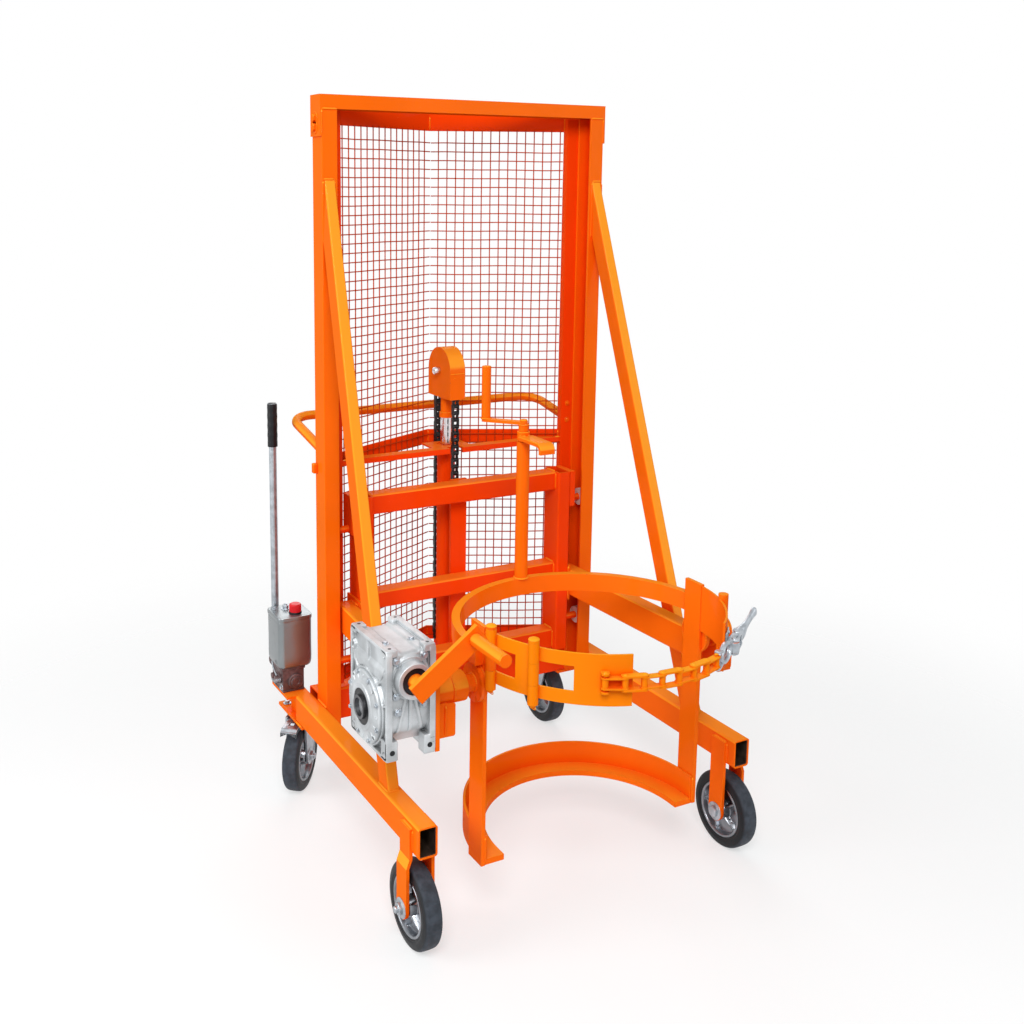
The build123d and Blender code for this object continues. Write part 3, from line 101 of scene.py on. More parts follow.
# Sizes that the frame's boxes give, in millimetres
CHANNEL_EDGE, _, LEG_LOW = low_of("right_upright")
MAST_HALF, CHANNEL_DEPTH, MAST_TOP = high_of("right_upright")
_, LEG_FRONT, _ = low_of("right_leg")
FORK_OUTSIDE, _, LEG_TOP = high_of("right_leg")
_, _, TAB_LOW = low_of("top_beam")
TAB_FACE, _, _ = high_of("top_beam")
_, FRONT_AXLE_Y, AXLE_Z = middle_of("front_right_tyre")
SWIVEL_X, CASTER_AXLE_Y, _ = middle_of("rear_right_tyre")
GUARD_HALF, _, _ = high_of("cylinder_crossmember")
_, _, WIRE_LOW = low_of("right_guard_mesh")
_, _, WIRE_HIGH = high_of("right_guard_mesh")
_, CYLINDER_Y, SHEAVE_Z = middle_of("chain_sheave")
_, _, COLLAR_Z = low_of("sheave_head")
HEAD_RADIUS = high_of("sheave_head")[1] - CYLINDER_Y
_, _, CHAIN_LUG_Z = high_of("lower_crossbeam")
ROLLER_PIN_X, _, _ = high_of("carriage_frame")
ROLLER_PINS = [middle_of(pair)[2] for pair in ("upper_rollers", "lower_rollers")]
_, TILT_Y, TILT_Z = middle_of("tilt_shaft")
BOX_LEFT, BOSS_FRONT, BOX_LOW = low_of("gearbox_housing")
BOX_RIGHT, BOX_BACK, BOX_HIGH = high_of("gearbox_housing")
_, _, WORM_Z = middle_of("worm_shaft")
_, _, CLAMP_Z = middle_of("clamp_chain")
_, _, HINGE_FOOT = low_of("inner_band")
_, _, HINGE_TOP = high_of("inner_band")
PUMP_X, _, _ = middle_of("pump_block")
_, PUMP_Y, _ = middle_of("pump_tank")
LEVER_X, LEVER_Y, _ = middle_of("pump_lever")
_, RIM_Y, _ = middle_of("rim_post")
RIM_HUB_Z = high_of("rim_post")[2] + 0.5

# Sizes that no box gives, in millimetres and degrees
LEG_WIDTH, LEG_WALL = 48.0, 4.0
LEG_MIDDLE, LEG_SIDES = MAST_HALF + LEG_WIDTH / 2, (MAST_HALF, MAST_HALF + LEG_WIDTH)
CROSSBEAM_TOP, TAB_BOLTS = 332.0, (1860.5, 1883.5)
FORK_HALF, FORK_INSIDE, AXLE_FLATS, AXLE_HEAD = 25.0, 421.0, 26.6, 8.4
SWIVEL_Y, CASTER_PLATE = 205.0, (LEG_LOW - 8, LEG_LOW)
CASTER_TURN = {"left": 140.0, "right": 0.0}
GUARD_CORNER, GUARD_APEX, GUARD_RAILS = 80.0, 246.0, (345.0, 958.0, 1870.0)
GUARD_POST_WIDTH, GUARD_POST_THICK, GUARD_BOLTS = 42.0, 4.0, (1030.0, 1080.0)
SIDE_LUG = ((-441.0, 48.0, 958.0), (-428.5, 64.0, 984.0))
BRACE_X, BRACE_Y, BRACE_Z = 411.0, -449.0, 1650.0
HANDLE_X, HANDLE_Z = 407.0, 1013.0
CHAIN_RADIUS, CHAIN_HOOK_Z, RAM_RISE = 54.0, 516.0, 475.0
CHAIN_END, REAR_RUN_TOP, REAR_RUN_LOW = 170.0, 1110.0, 625.0
CARRIAGE_BARS, BAR_END, BAR_DEPTH = ((352.0, 412.0), (571.0, 619.0), (838.0, 893.0)), 295.0, 50.0
BEARING_RADIUS = 35.0
WORM_BOSS, BOX_FRONT, BOX_X = 38.0, BOSS_FRONT + 20, (BOX_LEFT + BOX_RIGHT) / 2
WORM_BOSS_Y = BOSS_FRONT + WORM_BOSS
BOX_MIDDLE = np.array([(BOX_FRONT + BOX_BACK) / 2, (BOX_LOW + BOX_HIGH) / 2])
BOX_HALF = np.array([(BOX_BACK - BOX_FRONT) / 2, (BOX_HIGH - BOX_LOW) / 2])
BOX_FOOT, COVER_BOLTS = (27.0, 30.0), 73.0
BOX_SCREWS = ((-560, 668), (-556, 632), (-497, 640), (-560, 745), (-495, 748))
CHAIN_CIRCLE, LATCH_CIRCLE, HINGE_CIRCLE = 322.0, 330.0, 318.0
CHAIN_TURN, CHAIN_PINS, LINK_HALF, HOOK_TURN = 240.0, 8, 21.0, 292.35
LATCH_TURN, FLARE_TURN, FLARE_LIFT = 311.0, 296.0, 20.0
HINGES = (("first", 191.0, "cradle"), ("second", 212.0, "inner_clamp"))
RIM_ARM, RIM_ARM_TURN, RIM_ARM_TOP = 102.0, 131.0, 1124.0


def unit(v):
    """A vector, or each row of vectors, at length one."""
    v = np.asarray(v, float)
    return v / np.linalg.norm(v, axis=-1, keepdims=True)


def smooth(low, high, x):
    """Zero below low, one above high, and 3t^2 - 2t^3 between."""
    t = np.clip((np.asarray(x, float) - low) / (high - low), 0, 1)
    return t * t * (3 - 2 * t)


def joined(*parts):
    """Arrays spread to one shape and joined as coordinates."""
    return np.stack(np.broadcast_arrays(*parts), axis=-1)


def cells(i):
    """The four corners of each cell in a grid of point numbers."""
    return joined(i[:-1, :-1], i[1:, :-1], i[1:, 1:], i[:-1, 1:]).reshape(-1, 4)


def angles(count):
    """Angles evenly round a full turn, without its end."""
    return np.arange(count) * TURN / count


def round_cradle(radius, degrees, z=CLAMP_Z):
    """A point on a circle about the cradle's axis, with the front at 270 degrees."""
    a = math.radians(degrees)
    return np.array([radius * math.cos(a), TILT_Y + radius * math.sin(a), z])


def rounded(width, height, radius, steps=4):
    """A rectangle's outline with quarter circles of a radius at its corners."""
    turn = (np.arange(4)[:, None] + np.linspace(0, 1, steps + 1)) * math.pi / 2
    sign = np.array([[1, 1], [-1, 1], [-1, -1], [1, -1]])[:, None]
    core = sign * np.array([width / 2 - radius, height / 2 - radius])
    return (core + radius * joined(np.cos(turn), np.sin(turn))).reshape(-1, 2)


def oval(width, height, count=16, power=2.0):
    """A superellipse: the sign of each wave times its size to the power of 2 over power."""
    a = angles(count)
    wave = joined(np.cos(a), np.sin(a))
    return np.sign(wave) * np.abs(wave) ** (2 / power) * np.array([width, height]) / 2


def round_corners(corners, radius, count):
    """A closed outline through corners, each cut by a quadratic curve of a reach, then spaced evenly."""
    corners = np.asarray(corners, float)
    back = unit(np.roll(corners, 1, axis=0) - corners) * radius
    on = unit(np.roll(corners, -1, axis=0) - corners) * radius
    t = np.linspace(0, 1, 7)[None, :, None]
    curve = ((1 - t) ** 2 * (corners + back)[:, None] + 2 * t * (1 - t) * corners[:, None]
             + t**2 * (corners + on)[:, None]).reshape(-1, corners.shape[1])
    return spread(np.vstack([curve, curve[:1]]), count + 1)[:-1]


def spread(path, count):
    """A line's points, spaced evenly along its length."""
    path = np.asarray(path, float)
    far = np.concatenate([[0], np.cumsum(np.linalg.norm(np.diff(path, axis=0), axis=1))])
    at = np.linspace(0, far[-1], count)
    return np.stack([np.interp(at, far, column) for column in path.T], axis=-1)


def carried(path, section, up=(0, 0, 1)):
    """A section carried along a path: path + side * x + lift * y, side and lift square to its tangent."""
    path = np.asarray(path, float)
    along = unit(np.gradient(path, axis=0))
    side = unit(np.cross(np.broadcast_to(up, along.shape), along))
    lift = np.cross(along, side)
    section = np.broadcast_to(section, (len(path),) + np.shape(section)[-2:])
    return path[:, None] + side[:, None] * section[..., :1] + lift[:, None] * section[..., 1:]


def turned(profile, centre, axis, count=32, flats=0.0):
    """Pairs of radius and distance turned about an axis: centre + axis d + r (u cos a + v sin a).

    With flats, r is at most half of flats over the cosine of the angle from the nearest of six flats."""
    axis = unit(axis)
    u = unit(np.cross(axis, (0, 0, 1) if abs(axis[2]) < 0.9 else (0, 1, 0)))
    v = np.cross(axis, u)
    profile = np.asarray(profile, float)
    a = angles(count)
    r = np.broadcast_to(profile[:, :1], (len(profile), count))
    if flats:
        r = np.minimum(r, flats / 2 / np.cos((a + math.pi / 6) % (math.pi / 3) - math.pi / 6))
    ring = np.cos(a)[:, None] * u + np.sin(a)[:, None] * v
    return np.asarray(centre, float) + profile[:, 1:, None] * axis + r[..., None] * ring


class Shell:
    """Grids of points gathered into one mesh."""

    def __init__(self):
        self.points, self.faces, self.count = [], [], 0

    def add(self, grid, loop=False):
        """Adds a grid closed round its columns. Its end rows are drawn in to their middles, or joined by
        loop. Faces turn outwards by the signed volume, the sum of a.(b x c) + a.(c x d)."""
        p = np.asarray(grid, float)
        if not loop:
            ends = p[[0, -1]].mean(axis=1, keepdims=True).repeat(p.shape[1], axis=1)
            p = np.concatenate([ends[:1], p, ends[1:]])
        i = np.arange(p.shape[0] * p.shape[1]).reshape(p.shape[:2])
        i = np.hstack([i, i[:, :1]])
        if loop:
            i = np.vstack([i, i[:1]])
        quads = cells(i)
        flat = p.reshape(-1, 3)
        a, b, c, d = np.moveaxis((flat - flat.mean(axis=0))[quads], 1, 0)
        if np.sum(a * (np.cross(b, c) + np.cross(c, d))) < 0:
            quads = quads[:, ::-1]
        self.points.append(flat)
        self.faces.append(quads + self.count)
        self.count += len(flat)

    def add_each(self, grid, offsets):
        """Adds a copy of a grid at each offset."""
        for offset in np.asarray(offsets, float):
            self.add(np.asarray(grid) + offset)

    def swing(self, centre, degrees, shift=(0, 0, 0)):
        """Shifts the points, then turns them about an upright line: x cos a - y sin a, x sin a + y cos a."""
        c, s = math.cos(math.radians(degrees)), math.sin(math.radians(degrees))
        turn = np.array([[c, -s, 0], [s, c, 0], [0, 0, 1]])
        hub = np.array([centre[0], centre[1], 0.0])
        self.points = [(points + shift - hub) @ turn.T + hub for points in self.points]

    def slab(self, low, high, radius=2.0, axis=2):
        """A block with rounded edges: a rounded rectangle carried along an axis, drawn in at its ends."""
        low, high = np.asarray(low, float), np.asarray(high, float)
        across = [k for k in range(3) if k != axis]
        size = high - low
        inset = np.array([radius, radius * 0.3, 0, 0, radius * 0.3, radius])
        at = np.array([0, radius * 0.3, radius, size[axis] - radius, size[axis] - radius * 0.3, size[axis]])
        grid = np.zeros((6, 20, 3))
        for row in range(6):
            grid[row][:, across] = rounded(*(size[across] - 2 * inset[row] * 0.8), radius)
        grid[..., across] += (low + high)[across] / 2
        grid[..., axis] = (low[axis] + at)[:, None]
        self.add(grid)

    def bolt(self, spot, axis, flats=13.0, height=7.0, washer=1.6):
        """A washer and a six-sided head whose corners are cut by a cone."""
        wide = flats * 0.9
        self.add(turned([(wide, 0), (wide, washer * 0.7), (wide * 0.96, washer)], spot, axis, 24))
        head = [(flats, 0), (flats, 0.72), (flats * 0.545, 0.88), (flats * 0.47, 1), (flats * 0.3, 1)]
        rows = [(r, washer + h * height) for r, h in head]
        self.add(turned(rows, spot, axis, 24, flats))

    def dome(self, spot, axis, radius, height):
        """A rivet's head, a quarter wave of radius over height."""
        t = np.linspace(0, math.pi / 2, 6)[:-1]
        self.add(turned(joined(radius * np.cos(t), height * np.sin(t)), spot, axis, 16))

    def bead(self, path, radius, ring=False):
        """A weld: a tube along a line whose radius is r (0.86 + 0.2 |sin(pi s / pitch)|), drawn in at
        its ends."""
        pitch = radius * 1.7
        length = np.sum(np.linalg.norm(np.diff(path, axis=0), axis=1))
        count = max(int(length / pitch * 4), 8)
        line = spread(path, count)
        far = np.linspace(0, length, count)
        swell = radius * (0.86 + 0.2 * np.abs(np.sin(math.pi * far / pitch)))
        if not ring:
            swell = swell * (0.35 + 0.65 * smooth(0, pitch, far) * smooth(0, pitch, length - far))
        along = unit(line[-1] - line[0]) if not ring else np.zeros(3)
        up = (0, 0, 1) if abs(along[2]) < 0.9 else (0, 1, 0)
        if ring:
            up = unit(np.cross(line[count // 4] - line[0], line[count // 2] - line[0]))
        section = oval(2, 2, 8)[None] * swell[:, None, None]
        self.add(carried(line, section, up))

    def bead_round(self, centre, axis, around, radius):
        """A weld round a tube."""
        path = turned([(around, 0)], centre, axis, 72)[0]
        self.bead(np.vstack([path, path[:1]]), radius, ring=True)

    def mesh(self, name, crease):
        """Puts the points and faces into a mesh, closes its poles and marks edges sharper than crease."""
        data = bpy.data.meshes.new(name)
        points = np.concatenate(self.points) / PER_METRE + MAST
        data.from_pydata(points, [], np.concatenate(self.faces).tolist())
        work = bmesh.new()
        work.from_mesh(data)
        bmesh.ops.remove_doubles(work, verts=work.verts, dist=2e-6)
        work.to_mesh(data)
        work.free()
        data.shade_smooth()
        data.set_sharp_from_angle(angle=crease)
        return data


def place(name, shell, finish, body, replaces=(), crease=0.62):
    """Makes a piece of a shell, gives it its finish and lets it ride on its body."""
    data = shell.mesh(name, crease)
    data.materials.append(finish_for(finish))
    made = bpy.data.objects.new(name, data)
    bpy.context.scene.collection.objects.link(made)
    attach(made, body)
    if replaces:
        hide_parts(*replaces)
    return made


# Finishes


class Term:
    """A shader socket, so that sums and products of values are written as Python expressions."""

    def __init__(self, nodes, socket):
        self.nodes, self.socket = nodes, socket

    def work(self, operation, a, b):
        """The outcome of one operation on two values."""
        return self.nodes.node("ShaderNodeMath", {"operation": operation}, {0: a, 1: b})

    def __add__(self, other):
        return self.work("ADD", self, other)

    def __sub__(self, other):
        return self.work("SUBTRACT", self, other)

    def __rsub__(self, other):
        return self.work("SUBTRACT", other, self)

    def __mul__(self, other):
        return self.work("MULTIPLY", self, other)

    __radd__, __rmul__ = __add__, __mul__


class Nodes:
    """A tree of shader nodes."""

    def __init__(self, tree):
        self.tree = tree

    def first(self, kind):
        """The node of a type that the tree began with."""
        return next(n for n in self.tree.nodes if n.type == kind)

    def node(self, kind, settings=None, inputs=None, out=0):
        """Adds a node, sets it up, and feeds its sockets with values or links."""
        made = self.tree.nodes.new(kind)
        for key, value in (settings or {}).items():
            setattr(made, key, value)
        for key, value in (inputs or {}).items():
            self.feed(made.inputs[key], value)
        return Term(self, made.outputs[out])

    def feed(self, socket, value):
        """Links a term to a socket, or sets a plain value on it."""
        if isinstance(value, Term):
            self.tree.links.new(value.socket, socket)
        else:
            socket.default_value = (*value, 1) if socket.type == "RGBA" else value


class Finish(Nodes):
    """A material with one glossy shader and the nodes that vary it."""

    def __init__(self, name):
        self.material = bpy.data.materials.new(name)
        self.material.use_nodes = True
        super().__init__(self.material.node_tree)
        self.shader = self.first("BSDF_PRINCIPLED")
        self.spot = self.node("ShaderNodeTexCoord", out="Object")

    def noise(self, scale, detail=3.0, stretch=(1, 1, 1)):
        """Smooth noise with so many waves in a metre, stretched along the axes."""
        spot = self.spot
        if stretch != (1, 1, 1):
            spot = self.node("ShaderNodeMapping", None, {"Vector": spot, "Scale": stretch})
        return self.node("ShaderNodeTexNoise", None, {"Vector": spot, "Scale": scale, "Detail": detail})

    def step(self, value, low, high):
        """Zero below low and one above high, smooth between."""
        settings = {"interpolation_type": "SMOOTHSTEP"}
        return self.node("ShaderNodeMapRange", settings, {0: value, 1: low, 2: high})

    def blend(self, share, a, b):
        """Colour a turning to b by a share."""
        return self.node("ShaderNodeMix", {"data_type": "RGBA"}, {0: share, 6: a, 7: b}, out=2)

    def edges(self, radius):
        """The rounded normal of edges, and how far a spot is on one."""
        soft = self.node("ShaderNodeBevel", {"samples": 4}, {"Radius": radius})
        true = self.node("ShaderNodeNewGeometry", out="Normal")
        settings = {"operation": "DOT_PRODUCT"}
        lean = self.node("ShaderNodeVectorMath", settings, {0: soft, 1: true}, out="Value")
        return soft, self.step(1 - lean, 0.015, 0.16)

    def painted_shade_nooks(self, reach):
        """How far a spot is shut in by what stands within a reach, which the finishes use to paint shade."""
        return 1 - self.node("ShaderNodeAmbientOcclusion", {"samples": 4}, {"Distance": reach}, out="AO")

    def facing(self, axis):
        """How far a surface faces along an axis of its own object."""
        normal = self.node("ShaderNodeTexCoord", out="Normal")
        return self.node("ShaderNodeSeparateXYZ", None, {0: normal}, out=axis)

    def bump(self, height, depth, strength=1.0, normal=None):
        """Feeds the normal with a height in metres of depth."""
        inputs = {"Strength": strength, "Distance": depth, "Height": height}
        if normal is not None:
            inputs["Normal"] = normal
        self.put(Normal=self.node("ShaderNodeBump", None, inputs))

    def put(self, **sockets):
        """Feeds the shader's own sockets; an underscore stands for a space."""
        for key, value in sockets.items():
            self.feed(self.shader.inputs[key.replace("_", " ")], value)


def shade(colour, by):
    """A colour made lighter or darker."""
    return tuple(min(c * by, 1.0) for c in colour)


def paint_finish(f, colour):
    """Gloss paint: a slow drift of tone, painted light on faces that look up or to the left,
    painted shade in nooks, painted highlights on the edges, chips to primer and fine marks."""
    drift = f.noise(3.1, 3)
    soft, edge = f.edges(0.0016)
    chip = f.step(f.noise(150, 5), 0.60, 0.66) * f.step(edge, 0.25, 0.6) * f.step(f.noise(9, 2), 0.46, 0.58)
    mark = f.step(f.noise(70, 6, (1, 1, 9)), 0.70, 0.76) * f.step(f.noise(6, 2), 0.5, 0.62)
    tone = f.blend(f.step(drift, 0.3, 0.7), shade(colour, 0.9), colour)
    # painted light: faces that look up, and a little those that look to the left, turn towards a lighter,
    # yellower orange
    up = f.facing("Z")
    painted_light_share = f.step(up, 0.12, 0.3) * (1 - f.step(up, 0.5, 0.9) * 0.25)
    painted_light_share = painted_light_share + f.step(f.facing("X"), -0.4, -0.9) * 0.1
    tone = f.blend(painted_light_share * 0.8, tone, (0.96, colour[1] + 0.22, colour[2] + 0.02))
    # painted shade: spots shut in by nearby parts within 15 cm turn towards a deeper red
    tone = f.blend(f.step(f.painted_shade_nooks(0.15), 0.2, 0.75) * 0.8, tone, (0.84, 0.05, 0.001))
    # painted highlight: edges turn towards a lighter, yellower orange, as edges that catch the light look
    tone = f.blend(edge * 0.38, tone, (colour[0], min(colour[1] * 2.0, 1), colour[2] + 0.02))
    tone = f.blend(mark * 0.35, tone, (0.95, 0.42, 0.16))
    f.put(Base_Color=f.blend(chip, tone, (0.20, 0.10, 0.07)))
    f.put(Roughness=f.noise(45, 4) * 0.16 + 0.24 + chip * 0.3, Specular_IOR_Level=0.0)
    f.put(Coat_Weight=0.08, Coat_Roughness=0.1)
    f.bump(f.noise(420, 2) - chip * 2.0, 0.00006, 0.55, soft)


def wire_finish(f, colour):
    """Dipped wire: the paint gathers in a slow ripple, thin on the crowns."""
    thin = f.step(f.noise(260, 3), 0.58, 0.72)
    f.put(Base_Color=f.blend(thin, colour, shade(colour, 0.5)), Roughness=f.noise(90, 2) * 0.25 + 0.3)
    f.put(Specular_IOR_Level=0.0)
    f.bump(f.noise(900, 2), 0.0001, 0.4)


def metal_finish(f, colour, rough=0.3, grain=500.0, depth=0.00003, cloud=30.0, stain=0.72, metallic=1.0,
                 stretch=(1, 1, 1)):
    """Bare or plated metal: clouded tone, grain that may run one way, dull spots and brighter rubbed
    edges."""
    soft, edge = f.edges(0.0008)
    haze = f.noise(cloud, 5)
    tone = f.blend(f.step(haze, 0.32, 0.68), shade(colour, stain), colour)
    tone = f.blend(edge * 0.6, tone, shade(colour, 1.22))
    dull = f.step(f.noise(cloud * 4, 3), 0.56, 0.72)
    f.put(Base_Color=tone, Metallic=metallic - dull * 0.12)
    f.put(Roughness=haze * 0.2 + (rough - 0.1) + dull * 0.12 - edge * 0.06)
    f.bump(f.noise(grain, 4, stretch), depth, 0.7, soft)


def cast_finish(f, colour):
    """Sand-cast alloy under a thin silver coat: pebbled skin, blotches, dirt in the grain, rubbed edges,
    and painted shade in the recesses.
    """
    soft, edge = f.edges(0.0018)
    blotch, pebble = f.noise(16, 6), f.noise(700, 3)
    tone = f.blend(f.step(blotch, 0.3, 0.66), shade(colour, 0.66), colour)
    tone = f.blend(f.step(pebble, 0.58, 0.75) * 0.4, tone, shade(colour, 0.5))
    # painted shade: recesses and corners within 3 cm darken towards about a fifth of the base colour
    tone = f.blend(f.step(f.painted_shade_nooks(0.03), 0.25, 0.8) * 0.85, tone, shade(colour, 0.22))
    f.put(Base_Color=f.blend(edge * 0.7, tone, shade(colour, 1.3)), Metallic=0.55)
    f.put(Roughness=blotch * 0.18 + 0.32 + pebble * 0.1)
    f.bump(pebble + f.noise(180, 4) * 1.4, 0.00014, 0.8, soft)


def rubber_finish(f, colour):
    """Solid rubber: near black on the walls, grey with dust and scuffs where the tread attribute is one."""
    tread = f.node("ShaderNodeAttribute", {"attribute_name": "tread"}, out="Fac")
    scuff = f.noise(60, 6)
    dusty = tread * (f.step(scuff, 0.25, 0.75) * 0.6 + 0.4)
    tone = f.blend(f.step(f.noise(140, 4), 0.55, 0.8) * 0.5, colour, shade(colour, 2.6))
    f.put(Base_Color=f.blend(dusty, tone, (0.050, 0.060, 0.077)))
    f.put(Roughness=scuff * 0.2 + 0.38 + tread * 0.16, Specular_IOR_Level=0.22)
    f.bump(f.noise(900, 4) + scuff * 2.0, 0.00012, 0.6)


def oiled_finish(f, colour):
    """Chain steel: black oil over dark scale, with rubbed flecks."""
    soft, edge = f.edges(0.0006)
    fleck = f.step(f.noise(240, 4), 0.60, 0.72)
    tone = f.blend(fleck * 0.5 + edge * 0.3, colour, (0.20, 0.20, 0.21))
    f.put(Base_Color=tone, Metallic=0.7, Roughness=f.noise(110, 3) * 0.3 + 0.22)
    f.bump(f.noise(1200, 3), 0.00005, 0.6, soft)


def plastic_finish(f, colour):
    """Moulded plastic: a faint drift of tone, a fine grain and worn edges."""
    soft, edge = f.edges(0.0008)
    tone = f.blend(f.step(f.noise(40, 4), 0.35, 0.7), shade(colour, 0.82), colour)
    f.put(Base_Color=f.blend(edge * 0.35, tone, tuple(c * 0.9 + 0.05 for c in colour)))
    f.put(Roughness=f.noise(200, 3) * 0.2 + 0.27, Specular_IOR_Level=0.3)
    f.bump(f.noise(900, 2), 0.00005, 0.6, soft)


def iron_finish(f, colour):
    """Dark painted iron casting: rough skin, thin spots at edges and a film of oil."""
    soft, edge = f.edges(0.0014)
    oil = f.step(f.noise(24, 4), 0.45, 0.6)
    tone = f.blend(f.step(f.noise(55, 5), 0.4, 0.7), colour, shade(colour, 1.9))
    f.put(Base_Color=f.blend(edge * 0.45, tone, (0.16, 0.12, 0.11)), Metallic=0.25)
    f.put(Roughness=0.52 - oil * 0.24)
    f.bump(f.noise(420, 4) + f.noise(90, 3), 0.0001, 0.7, soft)


def shaft_finish(f, colour):
    """Paint outside the gearbox, and bare turned steel inside it."""
    across = f.node("ShaderNodeSeparateXYZ", None, {0: f.spot}, out="X")
    out = f.step(across, BOX_RIGHT / PER_METRE + MAST[0], BOX_RIGHT / PER_METRE + MAST[0] + 0.002)
    worn = f.step(f.noise(60, 4), 0.35, 0.7)
    steel = f.blend(worn, (0.30, 0.31, 0.33), (0.42, 0.44, 0.46))
    f.put(Base_Color=f.blend(out, steel, f.blend(worn, shade(colour, 0.88), colour)), Metallic=1 - out)
    f.put(Roughness=worn * 0.1 + 0.26, Specular_IOR_Level=0.1)


def metal(**sizes):
    """A maker of metal with its own sizes."""
    return lambda f, colour: metal_finish(f, colour, **sizes)


FINISHES = {
    "orange_paint": paint_finish,
    # painted shade: the inner frame's paint is a darker, redder copy of the orange paint
    "inner_shaded_paint": paint_finish,
    # painted light: the clamp's paint is a lighter, yellower copy of the orange paint
    "clamp_lit_paint": paint_finish,
    "mesh_paint": wire_finish,
    "zinc": metal(rough=0.36, grain=420, cloud=60, depth=0.00003, metallic=0.92),
    "cast_aluminium": cast_finish,
    "hub_aluminium": metal(rough=0.3, grain=240, cloud=22, depth=0.00005, stain=0.62),
    "chrome_rod": metal(rough=0.16, grain=300, cloud=12, depth=0.000001, stain=0.9, stretch=(1, 1, 0.05)),
    "dark_steel": metal(rough=0.36, grain=300, cloud=40, stain=0.55),
    # partly painted shade: raw steel inside the legs, darkened to near black for the shade in the tubes
    "bare_steel_in_shade": iron_finish,
    "chain_steel": oiled_finish,
    "black_rubber": rubber_finish,
    "black_plastic": plastic_finish,
    "red_plastic": plastic_finish,
    "pale_nylon": plastic_finish,
    "pump_iron": iron_finish,
    "tank_paint": metal(rough=0.3, grain=90, cloud=6, depth=0.00002, stain=0.88, metallic=0.9),
    "painted_shaft": shaft_finish,
}
_made_finishes = {}


def finish_for(name):
    """The material of a finish, made once from the colour in the scene's settings."""
    if name not in _made_finishes:
        f = Finish(name)
        FINISHES[name](f, tuple(getattr(bpy.context.scene.trolley_colours, name)))
        _made_finishes[name] = f.material
    return _made_finishes[name]


def colour(name, value):
    """A colour setting."""
    return FloatVectorProperty(name=name, description=f"Colour of the {name.lower()}", subtype="COLOR",
                               size=3, min=0, max=1, default=value)


def length(name, value, about):
    """A length setting, in metres."""
    return FloatProperty(name=name, description=about, unit="LENGTH", default=value, min=0.0)


class TrolleyColours(bpy.types.PropertyGroup):
    """Base colours of the finishes."""

    orange_paint: colour("Orange paint", (0.94, 0.142, 0.003))
    # painted shade: a darker, redder copy of the orange paint for the inner frame parts
    inner_shaded_paint: colour("Inner frame shaded paint", (0.93, 0.054, 0.002))
    # painted light: a lighter, yellower copy of the orange paint for the clamp's bands and chain
    clamp_lit_paint: colour("Clamp lit paint", (0.94, 0.225, 0.002))
    mesh_paint: colour("Mesh paint", (0.54, 0.056, 0.010))
    zinc: colour("Zinc plate", (0.47, 0.51, 0.55))
    cast_aluminium: colour("Cast gearbox", (0.60, 0.63, 0.65))
    hub_aluminium: colour("Wheel hubs", (0.31, 0.33, 0.36))
    chrome_rod: colour("Ram rod", (0.78, 0.78, 0.80))
    dark_steel: colour("Dark steel", (0.16, 0.16, 0.17))
    # partly painted shade: raw steel inside the legs, darkened to near black for the shade in the tubes
    bare_steel_in_shade: colour("Bare steel in shade", (0.030, 0.018, 0.012))
    chain_steel: colour("Lift chain", (0.016, 0.017, 0.018))
    black_rubber: colour("Tyres", (0.007, 0.008, 0.010))
    black_plastic: colour("Lever grip", (0.006, 0.007, 0.009))
    red_plastic: colour("Filler cap", (0.72, 0.012, 0.020))
    pale_nylon: colour("Guide rollers", (0.72, 0.70, 0.66))
    pump_iron: colour("Pump casting", (0.085, 0.048, 0.048))
    tank_paint: colour("Oil tank", (0.27, 0.29, 0.30))
    painted_shaft: colour("Tilt shaft", (0.94, 0.142, 0.003))


class TrolleySizes(bpy.types.PropertyGroup):
    """Sizes of the finer pieces."""

    wire: length("Wire radius", 0.0017, "Radius of the guard's wires")
    wire_pitch: length("Wire pitch", 0.025, "Distance between the guard's wires")
    wire_sway: length("Wire sway", 0.0009, "How far the mesh strays from a true grid")
    chain_pitch: length("Chain pitch", 0.01905, "Distance between the lift chain's pins")
    weld: length("Weld bead", 0.0032, "Radius of the weld beads")
    tyre_round: length("Tyre shoulder", 0.009, "Radius of the tyre's shoulders")
    hub_ribs: IntProperty(name="Hub ribs", description="Ribs on each face of a wheel hub", default=5, min=0)
    cover_ribs: IntProperty(name="Cover ribs", description="Ribs on the gearbox cover", default=16, min=0)


# Pieces

NODE_FINISHES = {
    "zinc": ["frame_fasteners", "latch_lever", "latch_hook", "pump_lever", "left_caster_fork",
             "right_caster_fork", "left_brake_pedal", "right_brake_pedal"],
    "painted_shaft": ["tilt_shaft"],
    "cast_aluminium": ["gearbox_housing", "gearbox_cover"],
    "hub_aluminium": ["front_left_hub", "front_right_hub", "rear_left_hub", "rear_right_hub"],
    "black_rubber": ["front_left_tyre", "front_right_tyre", "rear_left_tyre", "rear_right_tyre"],
    "chrome_rod": ["ram_rod"],
    "dark_steel": ["chain_sheave", "worm_wheel"],
    "chain_steel": ["lift_chain"],
    "pump_iron": ["pump_block"],
    "tank_paint": ["pump_tank"],
    "red_plastic": ["filler_cap"],
    "pale_nylon": ["upper_rollers", "lower_rollers"],
    "mesh_paint": ["left_guard_mesh", "right_guard_mesh"],
    # painted shade: the inner frame parts take the shaded copy of the orange paint
    "inner_shaded_paint": ["carriage_frame", "chain_bar", "lift_cylinder", "cylinder_crossmember", "lower_crossbeam",
                    "guard_frame"],
    # painted light: the clamp's bands and chain take the lit copy of the orange paint
    "clamp_lit_paint": ["inner_band", "outer_band", "clamp_chain"],
}


